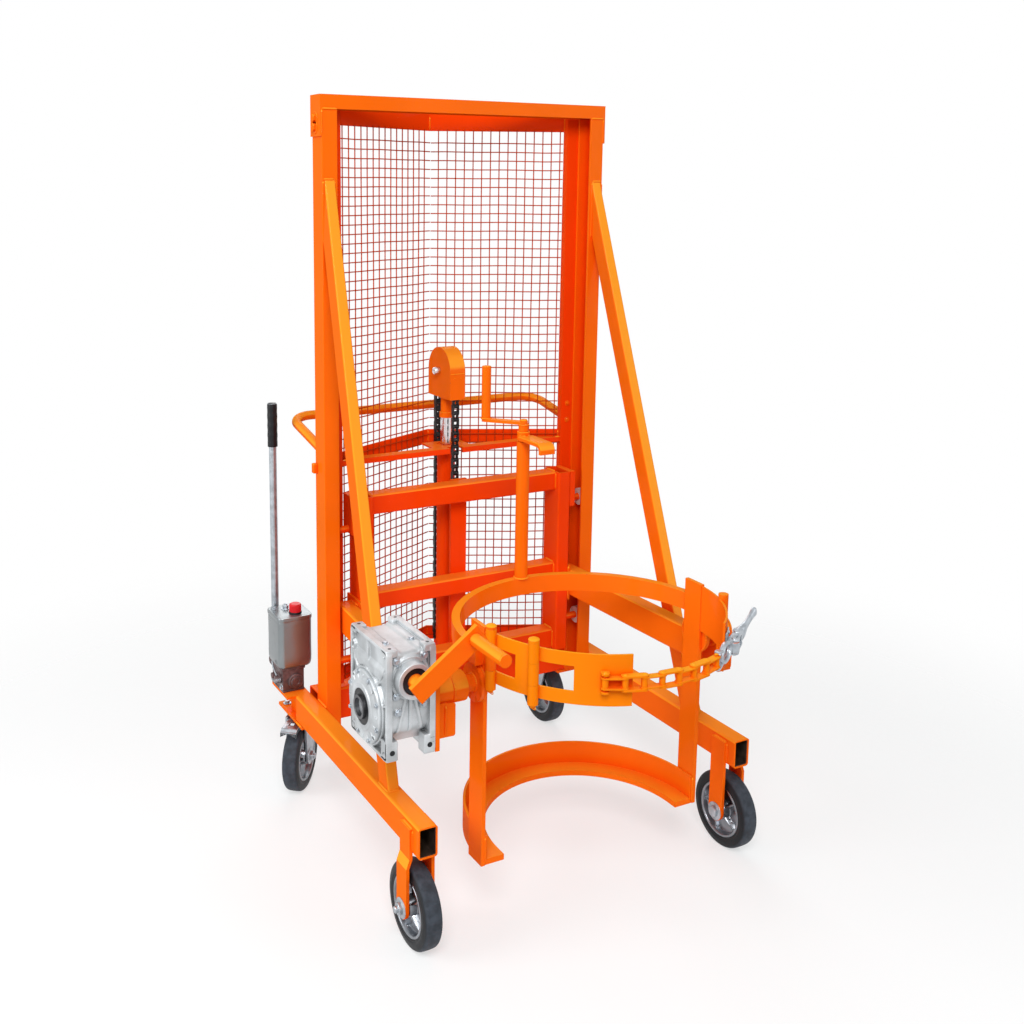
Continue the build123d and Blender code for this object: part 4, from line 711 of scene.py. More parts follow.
class TROLLEY_OT_paint(bpy.types.Operator):
    """Gives each of the frame's nodes its finish"""

    bl_idname = "trolley.paint"
    bl_label = "Paint the frame"
    bl_options = {"REGISTER", "UNDO"}

    def execute(self, context):
        finish_of = {node: name for name, nodes in NODE_FINISHES.items() for node in nodes}
        for name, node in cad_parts.items():
            material = finish_for(finish_of.get(name, "orange_paint"))
            if not node.data.materials:
                node.data.materials.append(material)
            for index in range(len(node.data.materials)):
                node.data.materials[index] = material
        return {"FINISHED"}


class TROLLEY_OT_wheels(bpy.types.Operator):
    """Makes the tyres with round shoulders and the ribbed wheel hubs"""

    bl_idname = "trolley.wheels"
    bl_label = "Wheels"
    bl_options = {"REGISTER", "UNDO"}

    def execute(self, context):
        sizes = context.scene.trolley_sizes
        for hand, _side in HANDS:
            for end in ("front", "rear"):
                name = f"{end}_{hand}"
                centre = middle(name + "_tyre")
                low, high = limits(end + "_right_tyre")
                hub_low, hub_high = limits(end + "_right_hub")
                turn = CASTER_TURN[hand] if end == "rear" else 0.0
                self.tyre(name, centre, (high - low) / 2, sizes.tyre_round * PER_METRE, turn)
                self.hub(name, centre, (hub_high - hub_low) / 2, (high - low)[0] / 2, sizes.hub_ribs, turn)
        return {"FINISHED"}

    def tyre(self, name, centre, half, shoulder, turn):
        """Walls bow out by half a sine wave with a groove by the rim, arcs make the shoulders, and the
        tread's radius falls by the square of the distance from its middle; all turned about X."""
        width, radius, rim = half[0], half[1], half[1] - 28.0
        crown = 0.5
        wall = np.linspace(rim, radius - crown - shoulder, 18)
        rise = (wall - rim) / (wall[-1] - rim)
        bow = width - 1.4 + 1.4 * np.sin(math.pi * rise) - 0.8 * np.exp(-(((wall - rim - 5) / 1.1) ** 2))
        quarter = np.linspace(0, math.pi / 2, 9)[1:]
        flat = width - 1.4 - shoulder
        arc = joined(wall[-1] + shoulder * np.sin(quarter), flat + shoulder * np.cos(quarter))
        across = np.linspace(flat, 0, 7)[1:]
        tread = joined(radius - crown * (across / flat) ** 2, across)
        one = np.vstack([joined(wall, bow), arc, tread])
        section = np.vstack([one, one[-2::-1] * [1, -1]])
        shell = Shell()
        shell.add(turned(section, centre, (1, 0, 0), 112), loop=True)
        shell.swing(centre, turn)
        made = place(name + "_tyre_rubber", shell, "black_rubber", name + "_wheel",
                     [name + "_tyre"])
        spots = np.zeros(len(made.data.vertices) * 3)
        made.data.vertices.foreach_get("co", spots)
        away = (spots.reshape(-1, 3) - MAST) * PER_METRE - centre
        along = away @ (math.cos(math.radians(turn)), math.sin(math.radians(turn)), 0)
        tread_share = smooth(radius - 8, radius - 1, np.sqrt(np.sum(away**2, axis=1) - along**2))
        made.data.attributes.new("tread", "FLOAT", "POINT").data.foreach_set("value", tread_share.astype("f"))

    def hub(self, name, centre, half, rim_half, ribs, turn):
        """Distance from the wheel's middle plane over radius r and angle a: a boss, a web, a rim that rises
        smoothly, and ribs of height exp(-(r sin(a)/w)^4) between boss and rim; one face mirrors the other."""
        outer, bore, boss = half[1] - 0.05, 8.2, 24.0
        r = np.concatenate([np.linspace(bore, boss + 5, 12), np.linspace(boss + 6, outer - 13, 14),
                            np.linspace(outer - 12, outer, 15)])
        a = angles(140)
        web = 7.0
        boss_part = ((half[0] - web) * (1 - smooth(boss - 1.5, boss + 4, r))
                     - 1.2 * (1 - smooth(bore, bore + 2, r)))
        rim_part = ((rim_half - 1.0 - web) * smooth(outer - 12, outer - 6, r)
                    - 1.6 * smooth(outer - 1.6, outer, r))
        level = web + boss_part + rim_part
        nearest = (a + math.pi / ribs) % (TURN / ribs) - math.pi / ribs
        side = np.abs(r[:, None] * np.sin(nearest)[None])
        rib_top = np.interp(r, [boss, outer - 8], [half[0] - web - 4, 8.5])
        rib = web + rib_top[:, None] * np.exp(-((side / 4.6) ** 4))
        face = np.maximum(level[:, None], rib * (r[:, None] > boss - 4))
        rows = np.concatenate([r, r[::-1]])[:, None]
        across = np.vstack([face, -face[::-1]])
        grid = joined(across, rows * np.cos(a), rows * np.sin(a)) + centre
        shell = Shell()
        shell.add(grid, loop=True)
        shell.swing(centre, turn)
        place(name + "_hub_casting", shell, "hub_aluminium", name + "_wheel",
              [name + "_hub"])


class TROLLEY_OT_guard_mesh(bpy.types.Operator):
    """Weaves the two panels of the guard's mesh"""

    bl_idname = "trolley.guard_mesh"
    bl_label = "Guard mesh"
    bl_options = {"REGISTER", "UNDO"}

    def execute(self, context):
        """Upright wires lie on the frame and level ones across their fronts, and the whole grid strays by
        slow sine waves in its own plane."""
        sizes = context.scene.trolley_sizes
        pitch, radius = sizes.wire_pitch * PER_METRE, sizes.wire * PER_METRE
        sway = sizes.wire_sway * PER_METRE
        span = math.hypot(GUARD_HALF, GUARD_APEX - GUARD_CORNER)
        uprights, levels = int(span / pitch), int((WIRE_HIGH - WIRE_LOW) / pitch)
        section = oval(2 * radius, 2 * radius, 5)
        for hand, side in HANDS:
            along = np.array([-side * GUARD_HALF, GUARD_APEX - GUARD_CORNER, 0]) / span
            forward = np.array([-side * along[1], -abs(along[0]), 0])
            corner = np.array([side * GUARD_HALF, GUARD_CORNER, 0])
            shell = Shell()
            for number in range(uprights + levels):
                upright = number < uprights
                place_at = pitch * ((number if upright else number - uprights) + 0.5)
                ends = (WIRE_LOW, WIRE_HIGH) if upright else (4.0, span - 4.0)
                t = np.linspace(*ends, int((ends[1] - ends[0]) / pitch * 6) + 1)
                fixed = np.full_like(t, place_at if upright else WIRE_LOW + place_at)
                s, z = (fixed, t) if upright else (t, fixed)
                depth = radius + 0.02 if upright else 3 * radius + 0.04
                hold = smooth(0, 60, s) * smooth(0, 60, span - s)
                s_shift = sway * hold * np.sin(z / 143 + s / 61 + side) * np.cos(z / 391)
                z_shift = sway * hold * np.sin(s / 97 + z / 177) * np.cos(s / 53 - z / 260)
                path = (corner + (s + s_shift)[:, None] * along + depth * forward
                        + (z + z_shift)[:, None] * np.array([0, 0, 1]))
                shell.add(carried(path, section, forward))
            place(hand + "_woven_mesh", shell, "mesh_paint", "chassis",
                  [hand + "_guard_mesh"], crease=1.5)
        return {"FINISHED"}


class TROLLEY_OT_lift_chain(bpy.types.Operator):
    """Links the lift chain's two strands and its wrap over the sheave"""

    bl_idname = "trolley.lift_chain"
    bl_label = "Lift chain"
    bl_options = {"REGISTER", "UNDO"}

    def execute(self, context):
        """Straight runs before and behind the cylinder, and links on a half circle over the sheave; inner
        and outer links take turns."""
        pitch = context.scene.trolley_sizes.chain_pitch * PER_METRE
        front, rear = CYLINDER_Y - CHAIN_RADIUS, CYLINDER_Y + CHAIN_RADIUS
        top = SHEAVE_Z
        drop = CHAIN_HOOK_Z + 0.3
        self.strand("lift_chain_front", front, drop, top, pitch, 1.0, "ram", ["lift_chain"])
        self.strand("lift_chain_front_end", front, drop, drop + CHAIN_END, pitch, 0.9, "carriage")
        self.strand("lift_chain_rear", rear, CHAIN_LUG_Z + 0.3, REAR_RUN_TOP, pitch, 1.0, "chassis")
        self.strand("lift_chain_rear_upper", rear, REAR_RUN_LOW, top, pitch, 0.9, "ram")
        wrap = Shell()
        count = 9
        turn = math.pi / count
        for n in range(count):
            a = turn * (n + 0.5)
            link = self.link(2 * CHAIN_RADIUS * math.sin(turn / 2), 1.0, n % 2)
            c, s = math.cos(a), math.sin(a)
            for grid in link:
                y, z = grid[..., 1] + CHAIN_RADIUS, grid[..., 2]
                wrap.add(joined(grid[..., 0], CYLINDER_Y + c * y - s * z, SHEAVE_Z + s * y + c * z))
        place("lift_chain_wrap", wrap, "chain_steel", "ram")
        run = bpy.data.objects["lift_chain_front"]
        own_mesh(run)
        return {"FINISHED"}

    def link(self, pitch, size, kind):
        """The plates, roller and pin of one link about its own middle, along Z. A plate's outline is two half
        circles about the pins, drawn in to 0.93 between them."""
        a = angles(20)
        end = np.sign(np.cos(a)) * pitch / 2
        up = end + 7.0 * size * np.cos(a)
        wide = 7.0 * size * np.sin(a)
        wide = np.where(np.abs(up) < pitch / 2 - 2, wide * 0.93, wide)
        inner, outer = ((5.2, 7.0), (7.4, 9.3))[kind]
        parts = []
        for side in (-1, 1):
            parts.append(np.stack([joined(side * x * size, wide, up) for x in (inner, outer)]))
        foot = (0, 0, -pitch / 2)
        parts.append(turned([(6.2 * size, -5 * size), (6.2 * size, 5 * size)], foot, (1, 0, 0), 12))
        parts.append(turned([(2.6, -9.9 * size), (3, -9.4 * size), (3, 9.4 * size), (2.6, 9.9 * size)],
                            foot, (1, 0, 0), 10))
        return parts

    def strand(self, name, y, low, high, pitch, size, body, replaces=()):
        """A straight run of links whose pitch is stretched to fit."""
        count = int((high - low) / pitch)
        step = (high - low) / count
        shell = Shell()
        spots = np.array([[0, y, low + step * (n + 0.5)] for n in range(count)])
        for kind in (0, 1):
            for grid in self.link(step, size, kind):
                shell.add_each(grid, spots[kind::2])
        place(name, shell, "chain_steel", body, replaces)


class TROLLEY_OT_gearbox(bpy.types.Operator):
    """Casts the gearbox's body, flanges, cover, feet and bosses, with their screws, seals and painted hole
    shade
    """

    bl_idname = "trolley.gearbox"
    bl_label = "Gearbox"
    bl_options = {"REGISTER", "UNDO"}

    def execute(self, context):
        """Two flanges, a body between them, four feet with pads above, the worm's boss and the cover."""
        body = Shell()
        self.flange(body, BOX_LEFT, 1, True)
        self.flange(body, BOX_RIGHT, -1, False)
        self.middle_part(body)
        wide, deep = BOX_FOOT
        for x in (BOX_LEFT, BOX_RIGHT - wide):
            for y in (BOX_FRONT, BOX_BACK - deep):
                body.slab((x, y, BOX_LOW), (x + wide, y + deep, BOX_LOW + 44), 3)
                body.slab((x, y + 2, BOX_HIGH - 16), (x + wide, y + deep - 2, BOX_HIGH + 0.5), 3)
        boss = [(47, 0), (47, 13), (45.5, 15), (41, 16), (40, 24), (39, 37), (38, WORM_BOSS), (30, WORM_BOSS),
                (29, 37), (28.6, 32), (17.4, 32)]
        body.add(turned(boss, (BOX_X, WORM_BOSS_Y, WORM_Z), (0, -1, 0), 64))
        place("gearbox_casting", body, "cast_aluminium", "carriage", ["gearbox_housing"])
        cover = Shell()
        self.cover(cover, context.scene.trolley_sizes.cover_ribs)
        place("gearbox_cover_casting", cover, "cast_aluminium", "carriage",
              ["gearbox_cover"])
        self.seals_and_hole_shade()
        self.screws()
        return {"FINISHED"}

    def flange(self, shell, face, inward, pockets):
        """A ring grid from a circle round the wheel's axis out to a rounded rectangle, over its edge and
        back. Its depth is a pocket between rim and ring, less ribs, bosses and the worm's bulge, plus
        holes."""
        outline = rounded(*(2 * BOX_HALF), 12, 8)
        outline = spread(np.vstack([outline, outline[:1]]), 900)[:-1] + BOX_MIDDLE
        away = outline - [TILT_Y, TILT_Z]
        turn = np.arctan2(away[:, 1], away[:, 0])
        order = np.argsort(turn)
        a = angles(300) - math.pi
        reach = np.interp(a, turn[order], np.hypot(*away.T)[order], period=TURN)
        ring = 79.0 if pockets else 70.0
        share = np.linspace(0, 1, 44)[:, None]
        r = ring + (reach - 1.2 - ring) * share
        y, z = TILT_Y + r * np.cos(a), TILT_Z + r * np.sin(a)
        depth = np.zeros_like(r)
        if pockets:
            off_y, off_z = np.abs(y - BOX_MIDDLE[0]), np.abs(z - BOX_MIDDLE[1])
            edge = np.minimum(BOX_HALF[0] - off_y, BOX_HALF[1] - off_z)
            pocket = smooth(7, 10, edge) * smooth(3, 7, r - 80)
            for rib in (20, 52, 90, 128, 160, 215, 250, 290, 325):
                off = np.abs(r * np.sin(a - math.radians(rib)))
                front_side = np.cos(a - math.radians(rib)) > 0
                pocket = pocket * (1 - (1 - smooth(2.2, 4.2, off)) * front_side * 0.85)
            bulge = np.sqrt(np.clip(34.0**2 - (z - WORM_Z) ** 2, 0, None)) - 24
            depth = np.clip(11 * pocket - np.clip(bulge, 0, 8) * smooth(0.5, 1, pocket), 0, 11)
            for spot in ((-706, 759), (-543, 759), (-543, 726), (-706, 539), (-543, 539), (-543, 566)):
                far = np.hypot(y - spot[0], z - spot[1])
                depth = np.where(far < 11, depth * smooth(9, 11, far), depth)
                depth = depth + 12 * (1 - smooth(4.2, 5.4, far))
        face_rows = joined(face + inward * depth, y, z)
        rim = np.array([(1.2, 0), (0.3, 0.4), (0, 1.4), (0, 12.6), (0.3, 13.6), (1.2, 14)])
        rim_r = reach - rim[:, :1]
        rim_rows = joined(face + inward * rim[:, 1:], TILT_Y + rim_r * np.cos(a), TILT_Z + rim_r * np.sin(a))
        back = joined(face + inward * 14, TILT_Y + ring * np.cos(a), TILT_Z + ring * np.sin(a))
        shell.add(np.concatenate([face_rows, rim_rows[1:], back[None]]), loop=True)

    def middle_part(self, shell):
        """A cut-cornered outline carried along X, whose front swells by a plinth, ribs and screw bosses."""
        corners = [(-539, 763), (-710, 763), (-710, 590), (-668, 543), (-581, 543), (-539, 585)]
        outline = round_corners(corners, 14, 260)
        x = np.linspace(BOX_LEFT + 8, BOX_RIGHT - 8, 56)[:, None]
        y, z = outline.T
        front = 1 - smooth(-706, -700, y)
        far = np.hypot(x - BOX_X, z - WORM_Z)
        swell = 5 * (1 - smooth(46, 50, far))
        for foot in (-562, -494, BOX_X):
            run = np.array([foot - BOX_X, 560 - WORM_Z])
            run = run / np.linalg.norm(run)
            off = np.abs((x - BOX_X) * run[1] - (z - WORM_Z) * run[0])
            swell = np.maximum(swell, 4.5 * (1 - smooth(2.5, 5, off)) * (z < WORM_Z))
        for spot in BOX_SCREWS:
            swell = np.maximum(swell, 4 * (1 - smooth(6, 8.5, np.hypot(x - spot[0], z - spot[1]))))
        top = smooth(755, 762, z) * 3.5 * (1 - smooth(18, 24, np.abs(x - BOX_X)))
        shell.add(joined(x, y - swell * front, z - top))

    def cover(self, shell, ribs):
        """Height over radius r and angle a from the flange: a stepped profile, ribs on its cone, raised pads
        and four bolt holes."""
        r = np.concatenate([[80, 79.9, 79.2], np.linspace(78, 67, 18), np.linspace(66.2, 51, 14),
                            np.linspace(50.4, 39.4, 12), [39, 38.8]])
        steps = ([38.8, 39, 39.4, 40.5, 49, 50.4, 52, 65, 67, 77.6, 79.2, 79.9, 80],
                 [9, 9.4, 12.2, 13, 13, 12.5, 10.6, 7.6, 6.6, 6.6, 5.8, 4.5, -0.5])
        a = angles(340)
        height = np.interp(r, *steps)[:, None] * np.ones(len(a))
        rr = r[:, None]
        if ribs:
            off = np.abs(rr * np.sin((a + math.pi / ribs) % (TURN / ribs) - math.pi / ribs))
            on_cone = smooth(52, 54, rr) * (1 - smooth(70, 74, rr))
            height = np.maximum(height, 9.8 * on_cone * (1 - smooth(1.6, 3.2, off)))
        y, z = rr * np.cos(a), rr * np.sin(a)
        for n in range(4):
            hole = math.pi / 4 + n * math.pi / 2
            far = np.hypot(y - COVER_BOLTS * math.cos(hole), z - COVER_BOLTS * math.sin(hole))
            pad = (1 - smooth(6.3, 7.5, far)) * (rr < 79.5)
            height = np.maximum(height, 7.8 * pad)
            height = np.where(far < 4.2, height * smooth(3.2, 3.9, far), height)
        shell.add(joined(BOX_LEFT - height, TILT_Y + y, TILT_Z + z))

    def seals_and_hole_shade(self):
        """Lipped rings in the cover and the worm's boss, and black discs of painted shade at the ends of the
        feet's and pads' holes.
        """
        seals_and_hole_shade = Shell()
        wheel_lip = [(39.2, 9), (39.2, 10.8), (37.5, 11.4), (30, 10.4), (27.5, 11.6), (26.2, 11.2),
                     (26.2, 9)]
        seals_and_hole_shade.add(turned(wheel_lip, (BOX_LEFT, TILT_Y, TILT_Z), (-1, 0, 0), 64), loop=True)
        worm_lip = [(28.8, 30), (28.8, 35), (25, 35.8), (20, 35), (17.3, 36), (17.1, 30)]
        seals_and_hole_shade.add(turned(worm_lip, (BOX_X, WORM_BOSS_Y, WORM_Z), (0, -1, 0), 48), loop=True)
        # painted shade: flat black discs stand for the dark insides of the feet's and pads' holes
        wide, deep = BOX_FOOT
        for x in (BOX_LEFT + wide / 2, BOX_RIGHT - wide / 2):
            seals_and_hole_shade.add(turned([(6, -2), (6, 0.15), (3, 0.15)], (x, BOX_FRONT, BOX_LOW + 20), (0, -1, 0), 24))
            for y in (BOX_FRONT + deep / 2, BOX_BACK - deep / 2):
                seals_and_hole_shade.add(turned([(4, -2), (4, 0.65), (2, 0.65)], (x, y, BOX_HIGH), (0, 0, 1), 20))
        place("gearbox_seals_and_hole_shade", seals_and_hole_shade, "black_plastic", "carriage")

    def screws(self):
        """Hex heads round the cover, on the front, on top and round the worm's boss."""
        screws = Shell()
        for n in range(8):
            a = math.radians(45 * n + 22.5)
            spot = (BOX_LEFT - 6.4, TILT_Y + COVER_BOLTS * math.cos(a), TILT_Z + COVER_BOLTS * math.sin(a))
            screws.bolt(spot, (-1, 0, 0), 8, 4.2, 0.8)
        for x, z in BOX_SCREWS:
            screws.bolt((x, BOX_FRONT + 4.5, z), (0, -1, 0), 9.5, 4.5, 1)
        for x in (BOX_X - 32, BOX_X + 30):
            screws.bolt((x, TILT_Y - 40, BOX_HIGH - 8), (0, 0, 1), 10, 4, 1)
        for a in angles(4) + math.pi / 4:
            spot = (BOX_X + 43.5 * math.cos(a), BOX_FRONT + 5, WORM_Z + 43.5 * math.sin(a))
            screws.bolt(spot, (0, -1, 0), 6.5, 3.5, 0.6)
        place("gearbox_screws", screws, "zinc", "carriage")


class TROLLEY_OT_pump(bpy.types.Operator):
    """Forms the oil tank, its cap and breather, the pump's bosses and the lever's grip"""

    bl_idname = "trolley.pump"
    bl_label = "Hand pump"
    bl_options = {"REGISTER", "UNDO"}

    def execute(self, context):
        """The tank is rounded rectangles stacked in Z, each inset by so much: a base, walls and a lid."""
        low, high = limits("pump_tank")
        centre = (low + high) / 2
        tank = Shell()
        rows = [(0, 9), (1.2, 6), (4, 3.2), (9, 1.4), (16, 0.3), (30, 0), (70, 0.3), (128, 0), (137, 0),
                (138, 0.4), (138.4, -0.8), (139.4, -1.4), (148, -1.4), (149.6, -0.6), (150, 1.4), (149.6, 5),
                (149.4, 8), (149.4, 20)]
        grid = []
        for z, inset in rows:
            ring = rounded(98 - 2 * inset, 106 - 2 * inset, max(16 - inset * 0.4, 6), 8)
            grid.append(joined(*(ring + centre[:2]).T, low[2] + z))
        tank.add(np.stack(grid))
        place("oil_tank", tank, "tank_paint", "chassis", ["pump_tank"])
        self.cap(*limits("filler_cap"))
        self.fittings(high[2] - 1.2)
        self.pump_bosses()
        self.lever()
        return {"FINISHED"}

    def cap(self, low, high):
        """Radius 16.4 with a knurl of 0.55 cos(28 a) on the skirt, over a domed top."""
        foot = np.array([*(low + high)[:2] / 2, low[2]])
        tall = high[2] - low[2]
        a = angles(168)
        rows = [(14, 0, 0), (14, 3, 0), (16.4, 3.2, 0), (16.4, 4.5, 1), (16.4, tall - 5, 1),
                (16, tall - 3, 0.6), (14.6, tall - 1, 0), (12, tall - 0.2, 0), (8, tall - 0.6, 0)]
        grid = []
        for r, z, knurl in rows:
            radius = r + 0.55 * knurl * np.cos(28 * a)
            grid.append(joined(radius * np.cos(a), radius * np.sin(a), z))
        shell = Shell()
        shell.add(np.stack(grid) + foot)
        place("filler_screw_cap", shell, "red_plastic", "chassis", ["filler_cap"])
        gasket = Shell()
        gasket.add(turned([(18, 0), (18.4, 1), (18, 2.6), (15, 3)], foot, (0, 0, 1), 48))
        place("filler_gasket", gasket, "black_plastic", "chassis")

    def fittings(self, top):
        """The breather and screws on the tank, the block's screws, and the release lever with its spring."""
        shell = Shell()
        shell.bolt((PUMP_X + 3, PUMP_Y + 23, top), (0, 0, 1), 15, 9, 2)
        shell.add(turned([(5, 8), (5, 14), (3.5, 15)], (PUMP_X + 3, PUMP_Y + 23, top), (0, 0, 1), 20))
        shell.bolt((PUMP_X - 26, PUMP_Y + 34, top), (0, 0, 1), 8, 4, 1)
        for y in (PUMP_Y - 34, PUMP_Y + 34):
            shell.bolt((PUMP_X - 31, y, 329), (-1, 0, 0), 10, 5, 1.2)
        lever = np.array([(-504, 160, 346), (-512, 168, 360), (-518, 176, 380), (-519, 182, 398)])
        shell.add(carried(spread(lever, 24), oval(5, 5, 10), (1, 0, 0)))
        t = np.linspace(0, 1, 90)
        wind = 6 * TURN * t
        coil = joined(-506 - 18 * t, 150 + 4.2 * np.cos(wind), 352 + 4.2 * np.sin(wind))
        shell.add(carried(coil, oval(1.6, 1.6, 6), (1, 0, 0)))
        place("pump_fittings", shell, "zinc", "chassis")

    def pump_bosses(self):
        """Turned bosses on the block's front and side, with a foot and a top flange."""
        shell = Shell()
        front_boss = [(22, -3), (22, 4), (20, 6), (15, 6.4), (14, 9), (9, 9.6), (8, 7)]
        shell.add(turned(front_boss, (PUMP_X + 6, 142, 344), (0, -1, 0), 48))
        side_boss = [(13, -2), (13, 5), (11, 6), (10, 15), (8.5, 16.5), (5, 16.8)]
        shell.add(turned(side_boss, (PUMP_X - 31, 163, 350), (-1, 0, 0), 32))
        shell.add(turned([(9, 4), (9, 12), (7, 13)], (PUMP_X - 31, 200, 346), (-1, 0, 0), 24, 17))
        shell.slab((PUMP_X - 32.5, 140, 315.3), (PUMP_X + 32.5, 228, 321), 2)
        shell.slab((PUMP_X - 35, 140, 377), (PUMP_X + 35, 228, 386), 2.5)
        place("pump_bosses", shell, "pump_iron", "chassis")

    def lever(self):
        """A sleeve whose radius swells by 0.3 times a cosine of its height, rounded at the top, and a socket
        with a screw at the lever's foot."""
        top = limits("pump_lever")[1][2]
        z = np.linspace(top - 122, top - 5, 80)
        plain = smooth(top - 116, top - 106, z) * smooth(-top + 8, -top + 18, -z)
        radius = 13.9 + 0.3 * np.cos(z * TURN / 27) * plain
        rows = [(11, top - 123), (13.2, top - 122.6), *zip(radius, z), (13.4, top - 1), (11, top + 1),
                (5, top + 1.8)]
        shell = Shell()
        shell.add(turned(rows, (LEVER_X, LEVER_Y, 0), (0, 0, 1), 32))
        place("lever_sleeve", shell, "black_plastic", "pump_arm")
        foot = Shell()
        rows = [(12.6, 24), (13.4, 26), (13.4, 52), (12.4, 55), (10.6, 56)]
        foot.add(turned(rows, (LEVER_X, LEVER_Y, 369), (0, 0, 1), 32))
        foot.bolt((LEVER_X - 13.2, LEVER_Y, 409), (-1, 0, 0), 7, 4, 0.5)
        place("lever_socket", foot, "zinc", "pump_arm")


class TROLLEY_OT_latch(bpy.types.Operator):
    """Forges the clamp's latch lever and its hook"""

    bl_idname = "trolley.latch"
    bl_label = "Clamp latch"
    bl_options = {"REGISTER", "UNDO"}

    def execute(self, context):
        """The lever runs from its pivot along the tangent of the latch's circle, and its handle flares out
        and up. The hook runs from the lever's pin to the chain's last pin."""
        turn = math.radians(LATCH_TURN)
        way = np.array([-math.sin(turn), math.cos(turn), 0])
        up = np.array([0, 0, 1.0])
        pivot = round_cradle(LATCH_CIRCLE, LATCH_TURN)
        throw, root = pivot + 35 * way, pivot + 70 * way
        flare, lift = math.radians(FLARE_TURN), math.radians(FLARE_LIFT)
        grip = np.array([-math.sin(flare) * math.cos(lift), math.cos(flare) * math.cos(lift), math.sin(lift)])
        self.seat(pivot, up)
        self.lever(pivot, root, way, grip, up)
        self.hook(throw, round_cradle(CHAIN_CIRCLE, HOOK_TURN), up)
        return {"FINISHED"}

    def seat(self, pivot, up):
        """A plate bent to the wing, a rounded section carried round the cradle's axis, with a sleeve on the
        boss."""
        shell = Shell()
        arc = np.stack([round_cradle(LATCH_CIRCLE - 17, a, CLAMP_Z) for a in np.linspace(308.6, 316.6, 16)])
        shell.add(carried(arc, rounded(3.4, 66, 1.2, 3), up))
        foot = np.stack([pivot * (1 - s) + round_cradle(LATCH_CIRCLE - 18, LATCH_TURN) * s
                         for s in (0.0, 0.5, 1.0)])
        shell.add(carried(foot, rounded(25.5, 23.2, 2, 3), up))
        shell.add(turned([(11.6, -11.6), (12.2, -11), (12.2, 11), (11.6, 11.6)], pivot, up, 32))
        rivet_turn = 314.8
        out = round_cradle(1, rivet_turn, 0) - [0, TILT_Y, 0]
        for side in (-1, 1):
            shell.dome(round_cradle(LATCH_CIRCLE - 15.4, rivet_turn, CLAMP_Z + side * 24), out, 5, 3)
        place("latch_seat", shell, "zinc", "cradle")

    def lever(self, pivot, root, way, grip, up):
        """Two cheeks as waisted bars, and a handle whose section narrows as a smooth step and swells at
        its tip."""
        shell = Shell()
        for side in (-1, 1):
            path = np.linspace(pivot - 10 * way, root + 6 * way, 24) + up * side * 15
            t = np.linspace(0, 1, 24)
            ends = np.sqrt(np.clip(1 - (2 * t - 1) ** 8, 0.02, 1))
            wide = 24 * ends * (1 - 0.18 * np.sin(math.pi * t) ** 2)
            section = np.stack([rounded(w, 5, 1.2, 3) for w in wide])
            shell.add(carried(path, section, up))
            shell.dome(pivot + up * side * 17.6, up * side, 8, 3)
        t = np.linspace(0, 1, 40)
        bend = smooth(0, 0.3, t)[:, None]
        path = root - 16 * way + (1 - bend) * way * (t * 111)[:, None] + bend * grip * (t * 111)[:, None]
        high = 34 - 17 * smooth(0.08, 0.5, t) + 5 * smooth(0.7, 0.95, t)
        wide = 20 - 9 * smooth(0.1, 0.55, t) + 2 * smooth(0.75, 0.95, t)
        tip = np.sqrt(np.clip(1 - np.clip((t - 0.93) / 0.07, 0, 0.98) ** 2, 0, 1))
        section = np.stack([oval(w, h, 20, 3.2) for w, h in zip(wide * tip, high * tip)])
        shell.add(carried(path, section, up))
        place("latch_handle", shell, "zinc", "latch", ["latch_lever"])

    def hook(self, throw, end, up):
        """An oval eye, a ring of a superellipse section, with a pair of flat bars to the lever's pin and a
        pair to the chain's pin."""
        shell = Shell()
        run = end - throw
        reach = np.linalg.norm(run)
        way = run / reach
        a = np.linspace(0, TURN, 65)
        eye = throw + 0.56 * run + (30 * np.cos(a))[:, None] * way + (20 * np.sin(a))[:, None] * up
        normal = np.cross(way, up)
        ring = carried(eye, oval(9, 13, 14, 2.4), normal)
        shell.add(ring[:-1], loop=True)
        for side in (-1, 1):
            for first, last in ((0.0, 0.40), (0.74, 1.0)):
                t = np.linspace(0, 1, 20)
                path = throw + (first + (last - first) * t)[:, None] * run
                inner = t if first == 0 else 1 - t
                path = path + up * side * (20.1 - 8 * inner**2)[:, None]
                wide = 15 * np.sqrt(np.clip(1 - (2 * t - 1) ** 6, 0.03, 1))
                section = np.stack([rounded(w, 4, 1, 3) for w in wide])
                shell.add(carried(path, section, up))
            shell.dome(throw + up * side * 22, up * side, 6.5, 3)
        shell.add(turned([(5, -22), (5, 22)], throw, up, 20))
        place("latch_eye_hook", shell, "zinc", "hook", ["latch_hook"])


